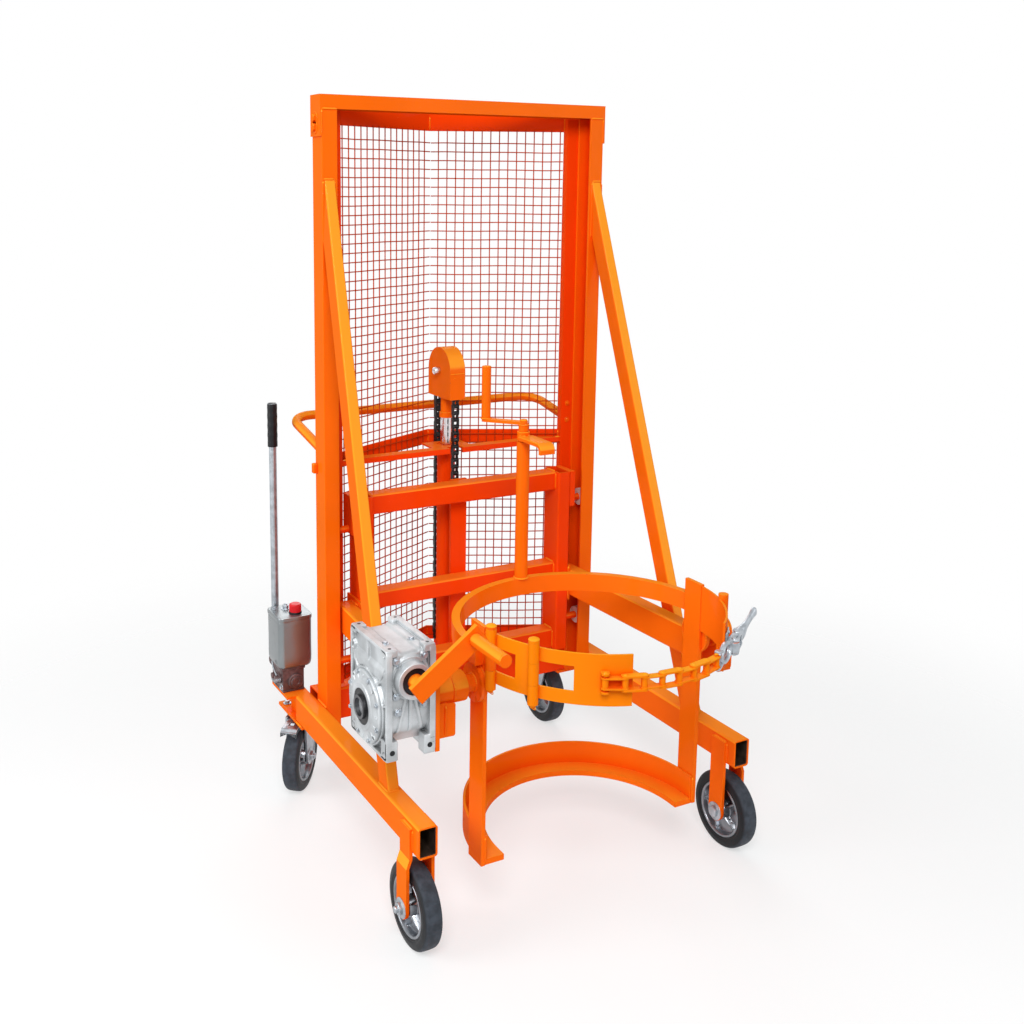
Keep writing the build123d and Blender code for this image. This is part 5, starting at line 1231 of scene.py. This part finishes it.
class TROLLEY_OT_clamp(bpy.types.Operator):
    """Adds the hinge pins' heads and the clamp chain's rivets"""

    bl_idname = "trolley.clamp"
    bl_label = "Clamp"
    bl_options = {"REGISTER", "UNDO"}

    def execute(self, context):
        """A dome above each hinge, its pin's end and an oval ring below, and a dome on each rivet."""
        for name, degrees, body in HINGES:
            shell = Shell()
            shell.dome(round_cradle(HINGE_CIRCLE, degrees, HINGE_TOP - 0.1), (0, 0, 1), 12.4, 5)
            foot = round_cradle(HINGE_CIRCLE, degrees, HINGE_FOOT)
            shell.add(turned([(6.5, 0), (6.5, 5), (5, 8)], foot, (0, 0, -1), 20))
            ring = turned([(4, 0)], (0, 0, 0), (1, 0, 0), 24)[0]
            hole = round_cradle(HINGE_CIRCLE, degrees, HINGE_FOOT - 6)
            loop = hole + ring * [1, 2.2, 1] + np.array([0, -3, 0])
            shell.add(carried(np.vstack([loop, loop[:1]]), oval(2.2, 2.2, 8), (1, 0, 0))[:-1], loop=True)
            place(name + "_hinge_head", shell, "clamp_lit_paint", body)
        rivets = Shell()
        step = 2 * math.degrees(math.asin(LINK_HALF / CHAIN_CIRCLE))
        for n in range(CHAIN_PINS):
            for side in (-1, 1):
                far = 22.6 if n == 0 else 17.5
                spot = round_cradle(CHAIN_CIRCLE, CHAIN_TURN + step * n, CLAMP_Z + side * (far - 0.2))
                rivets.dome(spot, (0, 0, side), 5, 2.4)
        place("clamp_chain_rivets", rivets, "clamp_lit_paint", "chain_clamp")
        return {"FINISHED"}


class TROLLEY_OT_rim_clamp(bpy.types.Operator):
    """Bends the rim hook's bar and rounds its hub and the crank's handle"""

    bl_idname = "trolley.rim_clamp"
    bl_label = "Rim clamp"
    bl_options = {"REGISTER", "UNDO"}

    def execute(self, context):
        """A flat bar carried along a line that bends down over a quarter circle."""
        low, high = limits("rim_hook")
        shell = Shell()
        shell.add(turned([(15, 0), (16.2, 1), (16.2, 24.6), (15, 26), (9, 26), (8.2, 25), (8.2, 1), (9, 0)],
                         (0, RIM_Y, RIM_HUB_Z), (0, 0, 1), 40), loop=True)
        bend = 14.0
        level = high[2] - 15.5
        a = np.linspace(0, math.pi / 2, 12)
        nose = low[1] + 4
        line = [(0, RIM_Y - 10, level), (0, nose + bend, level)]
        arc = joined(0, nose + bend - bend * np.sin(a), level - bend + bend * np.cos(a))
        path = np.vstack([line, arc[1:], [(0, nose, low[2])]])
        shell.add(carried(spread(path, 40), rounded(10, 43, 1.6, 3), (1, 0, 0)))
        for side in (-1, 1):
            seam = [(side * 16, RIM_Y - 4, level + 5), (side * 3, RIM_Y - 17, level + 5.5)]
            shell.bead(np.array(seam), 2.4)
        place("rim_hook_bar", shell, "orange_paint", "rim_grab", ["rim_hook"])
        top = limits("rim_crank")[1][2]
        turn = math.radians(RIM_ARM_TURN)
        grip = np.array([RIM_ARM * math.cos(turn), RIM_Y + RIM_ARM * math.sin(turn), 0])
        cap = Shell()
        cap.dome(grip + [0, 0, top - 0.2], (0, 0, 1), 12, 2.2)
        cap.add(turned([(10, 0), (10, 3), (8, 5.5), (4, 6)], (0, RIM_Y, RIM_ARM_TOP - 0.2), (0, 0, 1), 24))
        cap.bead_round(grip + [0, 0, RIM_ARM_TOP], (0, 0, 1), 12, 2)
        cap.bead_round((0, RIM_Y, RIM_ARM_TOP - 8), (0, 0, 1), 13, 1.8)
        place("rim_crank_caps", cap, "orange_paint", "rim_turn")
        return {"FINISHED"}


class TROLLEY_OT_casters(bpy.types.Operator):
    """Presses the brake pedals and adds the casters' races, nuts and plate bolts"""

    bl_idname = "trolley.casters"
    bl_label = "Casters"
    bl_options = {"REGISTER", "UNDO"}

    def execute(self, context):
        low, high = limits("right_brake_pedal")
        for hand, side in HANDS:
            stand = ((side * SWIVEL_X, SWIVEL_Y), CASTER_TURN[hand], (side * SWIVEL_X - SWIVEL_X, 0, 0))
            pedal = self.pedal(low, high)
            pedal.swing(*stand)
            place(hand + "_pressed_pedal", pedal, "zinc", hand + "_pedal", [hand + "_brake_pedal"])
            fork = Shell()
            race = [(31, 0), (33, 1.5), (33, 4.5), (31, 6)]
            fork.add(turned(race, (SWIVEL_X, SWIVEL_Y, 224.6), (0, 0, 1), 48))
            for face in (-1, 1):
                axle = np.array([SWIVEL_X + face * 30.8, CASTER_AXLE_Y, AXLE_Z])
                fork.bolt(axle, (face, 0, 0), AXLE_FLATS, AXLE_HEAD, 1.8)
                fork.add(turned([(8, 10), (8, 14), (6.5, 15.5)], axle, (face, 0, 0), 24))
                fork.bead(np.array([(axle[0], SWIVEL_Y - 28, 207), (axle[0], SWIVEL_Y + 32, 207)]), 2)
            fork.swing(*stand)
            place(hand + "_caster_details", fork, "zinc", hand + "_caster")
            plate = Shell()
            for dx, dy in ((39, 24), (-39, 24), (-39, -24)):
                spot = (side * (SWIVEL_X + dx), SWIVEL_Y + dy)
                plate.bolt((*spot, CASTER_PLATE[1]), (0, 0, 1), 13, 7, 2)
                plate.bolt((*spot, CASTER_PLATE[0]), (0, 0, -1), 13, 4.2, 1.5)
            place(hand + "_caster_bolts", plate, "zinc", "chassis")
        return {"FINISHED"}

    def pedal(self, low, high):
        """A pressed plate: its height over x and y dips to turned-down sides and a curled lip, with a raised
        pad round a well; a sleeve lies on its pin."""
        x0, x1 = low[0], high[0]
        centre = (x0 + x1) / 2
        y0, y1 = high[1] - 76, high[1]
        a = np.linspace(-1, 1, 41)
        y = np.linspace(y0, y1, 40)[:, None]
        off = np.abs(a)
        x = centre + (x1 - x0) / 2 * np.sign(a) * np.minimum(off * 1.12, 1)
        top = high[2] - 0.2 - 12 * smooth(0.88, 1, off) - 8 * smooth(y1 - 12, y1, y)
        pad = (1 - smooth(0.42, 0.5, off)) * smooth(y0 + 30, y0 + 33, y) * (1 - smooth(y0 + 58, y0 + 61, y))
        well = (1 - smooth(0.2, 0.27, off)) * smooth(y0 + 38, y0 + 40, y) * (1 - smooth(y0 + 51, y0 + 53, y))
        top = top + 1.8 * pad - 4.6 * well - 0.5
        upper = joined(x, y, top)
        lower = upper[:, ::-1] - [0, 0, 2.4]
        shell = Shell()
        shell.add(np.concatenate([upper, lower], axis=1))
        sleeve = [(6.4, -22.5), (7, -21.5), (7, 21.5), (6.4, 22.5)]
        shell.add(turned(sleeve, (centre, y0 + 11, low[2] + 7), (1, 0, 0), 24))
        return shell


class TROLLEY_OT_fasteners(bpy.types.Operator):
    """Adds the hex heads, nuts and pin ends of the frame, ram and carriage"""

    bl_idname = "trolley.fasteners"
    bl_label = "Fasteners"
    bl_options = {"REGISTER", "UNDO"}

    def execute(self, context):
        frame_bolts, painted = Shell(), Shell()
        for _hand, side in HANDS:
            for z in TAB_BOLTS:
                painted.bolt((side * TAB_FACE, CHANNEL_DEPTH / 2, z), (side, 0, 0), 18.4, 7, 1.6)
            inside, outside = ((side * x, FRONT_AXLE_Y, AXLE_Z) for x in (FORK_INSIDE, FORK_OUTSIDE))
            frame_bolts.bolt(inside, (-side, 0, 0), AXLE_FLATS, AXLE_HEAD, 2)
            frame_bolts.bolt(outside, (side, 0, 0), AXLE_FLATS, AXLE_HEAD, 2)
            frame_bolts.add(turned([(8, 9), (8, 16), (6.5, 17.5)], outside, (side, 0, 0), 24))
            post_x = side * (GUARD_HALF + GUARD_POST_WIDTH / 2)
            for z in GUARD_BOLTS:
                painted.bolt((post_x, CHANNEL_DEPTH, z), (0, -1, 0), 9, 4, 1)
                painted.bolt((post_x, CHANNEL_DEPTH + GUARD_POST_THICK, z), (0, 1, 0), 9, 5, 1)
        place("frame_bolt_heads", frame_bolts, "zinc", "chassis")
        self.tube_shade_linings()
        painted.slab(*SIDE_LUG, 1.5)
        place("painted_bolt_heads", painted, "orange_paint", "chassis")
        pins = Shell()
        pin_end = [(10.6, -0.5), (10.6, 16), (9.2, 18), (2, 18.4)]
        for side in (-1, 1):
            pins.add(turned(pin_end, (side * 24, CYLINDER_Y, SHEAVE_Z), (side, 0, 0), 32))
        place("sheave_pin_ends", pins, "chrome_rod", "ram")
        seams = Shell()
        seams.bead_round((0, CYLINDER_Y, COLLAR_Z + 15), (0, 0, 1), 17.5, 1.8)
        for y in (CYLINDER_Y - HEAD_RADIUS, CYLINDER_Y + HEAD_RADIUS):
            seams.bead(np.array([(-23, y, SHEAVE_Z - 3), (23, y, SHEAVE_Z - 3)]), 1.6)
            for x in (-10, 10):
                seams.dome((x, y, SHEAVE_Z - 16), (0, math.copysign(1, y - CYLINDER_Y), 0), 2.4, 1.2)
        place("sheave_head_seams", seams, "orange_paint", "ram")
        nuts = Shell()
        for _hand, side in HANDS:
            for z in ROLLER_PINS:
                nuts.bolt((side * ROLLER_PIN_X, CHANNEL_DEPTH / 2, z), (side, 0, 0), 15, 4, 0.6)
        place("roller_pin_heads", nuts, "zinc", "carriage")
        return {"FINISHED"}

    def tube_shade_linings(self):
        """The bare insides of the legs, near black for their raw steel and as painted shade inside the tubes:
        two rounded rectangles carried back from the open end, joined in a loop."""
        shell = Shell()
        wide, high = LEG_WIDTH - 2 * LEG_WALL, LEG_TOP - LEG_LOW - 2 * LEG_WALL
        for _hand, side in HANDS:
            rows = [(0.1, LEG_FRONT + 2.5), (0.1, 40.0), (1.2, 40.0), (1.2, LEG_FRONT + 2.5)]
            grid = []
            for inset, y in rows:
                ring = rounded(wide - 2 * inset, high - 2 * inset, 3.0)
                grid.append(joined(ring[:, 0], y, ring[:, 1]))
            middle_line = (side * LEG_MIDDLE, 0, (LEG_LOW + LEG_TOP) / 2)
            shell.add(np.stack(grid) + middle_line, loop=True)
        place("leg_shade_linings", shell, "bare_steel_in_shade", "chassis")


class TROLLEY_OT_welds(bpy.types.Operator):
    """Lays the weld beads along the joints of the frame, carriage, cradle and clamps"""

    bl_idname = "trolley.welds"
    bl_label = "Welds"
    bl_options = {"REGISTER", "UNDO"}

    def execute(self, context):
        """Straight beads from point to point, and rings round the tubes, in one shell for each body."""
        radius = context.scene.trolley_sizes.weld * PER_METRE
        groups = (("frame", "chassis", self.frame_beads()),
                  ("carriage", "carriage", self.carriage_beads()),
                  ("cradle", "cradle", self.cradle_beads()))
        for name, body, beads in groups:
            shell = Shell()
            for path in beads:
                shell.bead(np.array(path, float), radius)
            for centre, axis, around in self.rings[name]:
                shell.bead_round(centre, axis, around, radius * 0.9)
            place(name + "_welds", shell, "orange_paint", body)
        return {"FINISHED"}

    rings = {
        "frame": [((side * HANDLE_X, 65.5, HANDLE_Z), (0, 1, 0), 13.2) for side in (-1, 1)]
        + [((0, CYLINDER_Y, 343), (0, 0, 1), 26)],
        "carriage": [((x, TILT_Y, TILT_Z), (1, 0, 0), BEARING_RADIUS) for x in (-428, -386.5, 357, 401)],
        "cradle": [((side * 324, TILT_Y, TILT_Z), (1, 0, 0), 20.5) for side in (-1, 1)]
        + [((side * 312.5, TILT_Y, TILT_Z), (1, 0, 0), 45) for side in (-1, 1)]
        + [((0, RIM_Y, 709.5), (0, 0, 1), 17)],
    }

    def frame_beads(self):
        """Beads of the mast's feet and top, braces, forks, lower crossbeam and guard."""
        beads = []
        for _hand, s in HANDS:
            web, edge = s * MAST_HALF, s * CHANNEL_EDGE
            beads += [[(web, y, LEG_LOW + 4), (web, y, LEG_TOP - 6)] for y in (0, CHANNEL_DEPTH)]
            beads.append([(web, 2, LEG_TOP), (web, CHANNEL_DEPTH - 2, LEG_TOP)])
            foot_x, head_x = s * LEG_MIDDLE, s * BRACE_X
            beads += [[(foot_x - 15, y, LEG_TOP), (foot_x + 15, y, LEG_TOP)]
                      for y in (BRACE_Y - 27.5, BRACE_Y + 27.5)]
            beads += [[(x, BRACE_Y - 27, LEG_TOP), (x, BRACE_Y + 27, LEG_TOP)]
                      for x in (foot_x - 15, foot_x + 15)]
            beads += [[(head_x + x, 0, BRACE_Z - 78), (head_x + x, 0, BRACE_Z + 76)] for x in (-15.5, 15.5)]
            beads.append([(head_x - 15, 0, BRACE_Z + 81), (head_x + 15, 0, BRACE_Z + 81)])
            beads += [[(web, y, MAST_TOP), (edge, y, MAST_TOP)] for y in (0, CHANNEL_DEPTH)]
            beads += [[(web, y, TAB_LOW + 2), (web, y, MAST_TOP - 2)] for y in (1, CHANNEL_DEPTH - 1)]
            fork_front, fork_back = FRONT_AXLE_Y - FORK_HALF, FRONT_AXLE_Y + FORK_HALF
            for x in (s * across for across in LEG_SIDES):
                beads += [[(x, y, LEG_LOW + 6), (x, y, LEG_TOP - 17)] for y in (fork_front, fork_back)]
                beads.append([(x, fork_front + 2, LEG_TOP - 14), (x, fork_back - 2, LEG_TOP - 14)])
            beads += [[(s * x, 68, LEG_LOW), (s * x, 107, LEG_LOW)] for x in LEG_SIDES]
            beads.append([(edge, CHANNEL_DEPTH, CROSSBEAM_TOP), (web, CHANNEL_DEPTH, CROSSBEAM_TOP)])
            beads.append([(edge, CHANNEL_DEPTH, LEG_LOW + 2), (edge, CHANNEL_DEPTH, CROSSBEAM_TOP - 2)])
            for z in GUARD_RAILS:
                for x, y in ((s * GUARD_HALF, GUARD_CORNER), (0, GUARD_APEX)):
                    beads.append([(x, y, z + 3), (x, y, z + 39)])
            beads.append([(s * (GUARD_HALF - 1), 67, 980), (s * (GUARD_HALF - 18), 67, 980)])
        beads += [[(-58, 125, CROSSBEAM_TOP), (58, 125, CROSSBEAM_TOP)], [(-60, 67, 342), (-60, 124, 333)]]
        return beads

    def carriage_beads(self):
        """Beads at the ends and middles of the carriage's bars, at the arms' feet and on the arms."""
        beads = []
        for _hand, s in HANDS:
            x = s * BAR_END
            for low, high in CARRIAGE_BARS:
                beads += [[(x, y, low + 5), (x, y, high - 5)] for y in (0, BAR_DEPTH)]
                beads += [[(x, 5, z), (x, BAR_DEPTH - 5, z)] for z in (low, high)]
                beads.append([(s * 25, BAR_DEPTH, low + 4), (s * 25, BAR_DEPTH, high - 4)])
            beads += [[(s * 335, y, 504), (s * 335, y, 606)] for y in (-18, 62)]
            beads += [[(s * 341, -14, z), (s * 341, 38, z)] for z in (515, 595)]
        arm_sides = (TILT_Y - BEARING_RADIUS, TILT_Y + BEARING_RADIUS)
        beads += [[(x, y, 520), (x, y, 590)] for x in (-410, 402) for y in arm_sides]
        beads += [[(-460, y, 535), (-460, y, 594)] for y in arm_sides]
        return beads

    def cradle_beads(self):
        """Beads between the holder posts and the two rings."""
        beads = []
        for _hand, s in HANDS:
            beads += [[(s * 312, y, 666), (s * 312, y, 707)] for y in (TILT_Y - 28, TILT_Y + 28)]
            beads += [[(s * 302, y, 178), (s * 302, y, 244)] for y in (TILT_Y - 29, TILT_Y + 29)]
            beads += [[(s * 307, TILT_Y - 30, z), (s * 307, TILT_Y - 30, z + 40)] for z in (640, 705)]
        return beads


# Stage

SEEN_BY = ("Is Camera Ray", "Is Glossy Ray", "Is Transmission Ray")
DIM = 0.30
FLOOR_RADIUS, FLOOR_SIDES, FLOOR_FADE = 9.0, 96, (1.1, 2.6)
LAMP_AIM = (0.05, -0.1, 0.8)
LAMPS = (
    ("key", (-1.9, -3.1, 3.7), 150, 1.8),
    ("side", (-3.8, 0.2, 2.0), 70, 2.0),
    ("fill", (2.6, -3.0, 1.9), 24, 2.2),
    ("back", (1.5, 3.4, 3.0), 50, 2.4),
)
SENSOR, LENS, SHIFT, ROLL = 36.0, 41.06, (0.0674, -0.142), 0.43
EYE, VIEW = np.array([-1547.5, -2783.4, 1727.1]), (0.4605, 0.8738, -0.1563)


def stand(right, up, back, spot):
    """A matrix with these axes at a spot."""
    return Matrix(np.vstack([np.column_stack([right, up, back, spot]), [0, 0, 0, 1]]))


def aim(spot, target):
    """A matrix at a spot whose -Z looks at a target."""
    back = unit(np.subtract(spot, target))
    right = unit(np.cross((0, 0, 1), back))
    return stand(right, np.cross(back, right), back, spot)


class TROLLEY_OT_stage(bpy.types.Operator):
    """Sets the floor, the soft lamps, the pale surroundings and the camera"""

    bl_idname = "trolley.stage"
    bl_label = "Stage"
    bl_options = {"REGISTER", "UNDO"}

    def execute(self, context):
        self.floor()
        self.surroundings()
        self.lamps()
        self.camera()
        bpy.context.scene.view_settings.view_transform = "Standard"
        return {"FINISHED"}

    def floor(self):
        """A disc, radius by angle, that fades into the surroundings with distance."""
        r, a = np.linspace(0.02, FLOOR_RADIUS, 40)[:, None], angles(FLOOR_SIDES)
        grid = joined(r * np.cos(a), r * np.sin(a), 0.0)
        i = np.arange(len(grid) * FLOOR_SIDES).reshape(-1, FLOOR_SIDES)
        faces = cells(np.hstack([i, i[:, :1]])).tolist()
        data = bpy.data.meshes.new("floor")
        data.from_pydata(grid.reshape(-1, 3), [], faces + [list(range(FLOOR_SIDES - 1, -1, -1))])
        f = Finish("floor")
        far = f.node("ShaderNodeVectorMath", {"operation": "LENGTH"}, {0: f.spot}, out="Value")
        f.put(Base_Color=f.blend(f.noise(2, 2), (0.93, 0.95, 0.955), (0.95, 0.97, 0.975)), Roughness=0.9)
        clear = f.node("ShaderNodeBsdfTransparent")
        glow = f.node("ShaderNodeEmission", None, {"Color": (1, 1, 1), "Strength": 1.0})
        seen = [f.node("ShaderNodeLightPath", out=ray) for ray in SEEN_BY]
        lit = f.node("ShaderNodeMixShader", None, {0: (seen[0] + seen[1] + seen[2]) * 0.55,
                                                   1: Term(f, f.shader.outputs[0]), 2: glow})
        mixed = f.node("ShaderNodeMixShader", None, {0: f.step(far, *FLOOR_FADE), 1: lit, 2: clear})
        f.feed(f.first("OUTPUT_MATERIAL").inputs["Surface"], mixed)
        data.materials.append(f.material)
        floor = bpy.data.objects.new("floor", data)
        bpy.context.scene.collection.objects.link(floor)

    def surroundings(self):
        """White to the camera and in reflections, and dimmer as a light."""
        world = bpy.data.worlds.new("surroundings")
        bpy.context.scene.world = world
        world.use_nodes = True
        sky = Nodes(world.node_tree)
        seen = sky.node("ShaderNodeLightPath", out=SEEN_BY[0])
        for ray in SEEN_BY[1:]:
            seen = seen.work("MAXIMUM", seen, sky.node("ShaderNodeLightPath", out=ray))
        strength = sky.node("ShaderNodeMapRange", None, {"Value": seen, "To Min": DIM, "To Max": 1.0})
        back = sky.first("BACKGROUND")
        sky.feed(back.inputs["Color"], (1, 1, 1))
        sky.feed(back.inputs["Strength"], strength)

    def lamps(self):
        """Square lamps that look at the trolley's middle."""
        for name, spot, power, wide in LAMPS:
            lamp = bpy.data.lights.new(name, "AREA")
            lamp.energy, lamp.size = power, wide
            made = bpy.data.objects.new(name, lamp)
            made.matrix_world = aim(spot, LAMP_AIM)
            bpy.context.scene.collection.objects.link(made)

    def camera(self):
        """The photograph's eye point, with its view's centre moved by the shift."""
        data = bpy.data.cameras.new("camera")
        data.sensor_width, data.lens = SENSOR, LENS
        data.shift_x, data.shift_y = SHIFT
        data.clip_end = 100
        forward = unit(VIEW)
        right = unit(np.cross(forward, (0, 0, 1)))
        up = np.cross(right, forward)
        roll = math.radians(ROLL)
        across = math.cos(roll) * right + math.sin(roll) * up
        lift = math.cos(roll) * up - math.sin(roll) * right
        made = bpy.data.objects.new("camera", data)
        made.matrix_world = stand(across, lift, -forward, EYE / PER_METRE + MAST)
        bpy.context.scene.collection.objects.link(made)
        bpy.context.scene.camera = made


MAKERS = (TROLLEY_OT_paint, TROLLEY_OT_wheels, TROLLEY_OT_guard_mesh, TROLLEY_OT_lift_chain,
          TROLLEY_OT_gearbox, TROLLEY_OT_pump, TROLLEY_OT_latch, TROLLEY_OT_clamp, TROLLEY_OT_rim_clamp,
          TROLLEY_OT_casters, TROLLEY_OT_fasteners, TROLLEY_OT_welds, TROLLEY_OT_stage)


class TROLLEY_PT_panel(bpy.types.Panel):
    """Lists the trolley's pieces"""

    bl_label = "Drum trolley"
    bl_idname = "TROLLEY_PT_panel"
    bl_space_type = "VIEW_3D"
    bl_region_type = "UI"
    bl_category = "Trolley"

    def draw(self, context):
        """Shows the settings, and a button for each operator."""
        for settings in (context.scene.trolley_sizes, context.scene.trolley_colours):
            for name in settings.__annotations__:
                self.layout.prop(settings, name)
        for maker in MAKERS:
            self.layout.operator(maker.bl_idname)


CLASSES = (TrolleyColours, TrolleySizes, *MAKERS, TROLLEY_PT_panel)


def register():
    """Adds the classes and the scene's settings."""
    for cls in CLASSES:
        bpy.utils.register_class(cls)
    bpy.types.Scene.trolley_colours = PointerProperty(type=TrolleyColours)
    bpy.types.Scene.trolley_sizes = PointerProperty(type=TrolleySizes)


def unregister():
    """Takes the settings and classes away again."""
    del bpy.types.Scene.trolley_sizes
    del bpy.types.Scene.trolley_colours
    for cls in reversed(CLASSES):
        bpy.utils.unregister_class(cls)


def main():
    """Makes every piece in order."""
    register()
    for maker in MAKERS:
        group, name = maker.bl_idname.split(".")
        getattr(getattr(bpy.ops, group), name)()


if __name__ == "__main__":
    main()
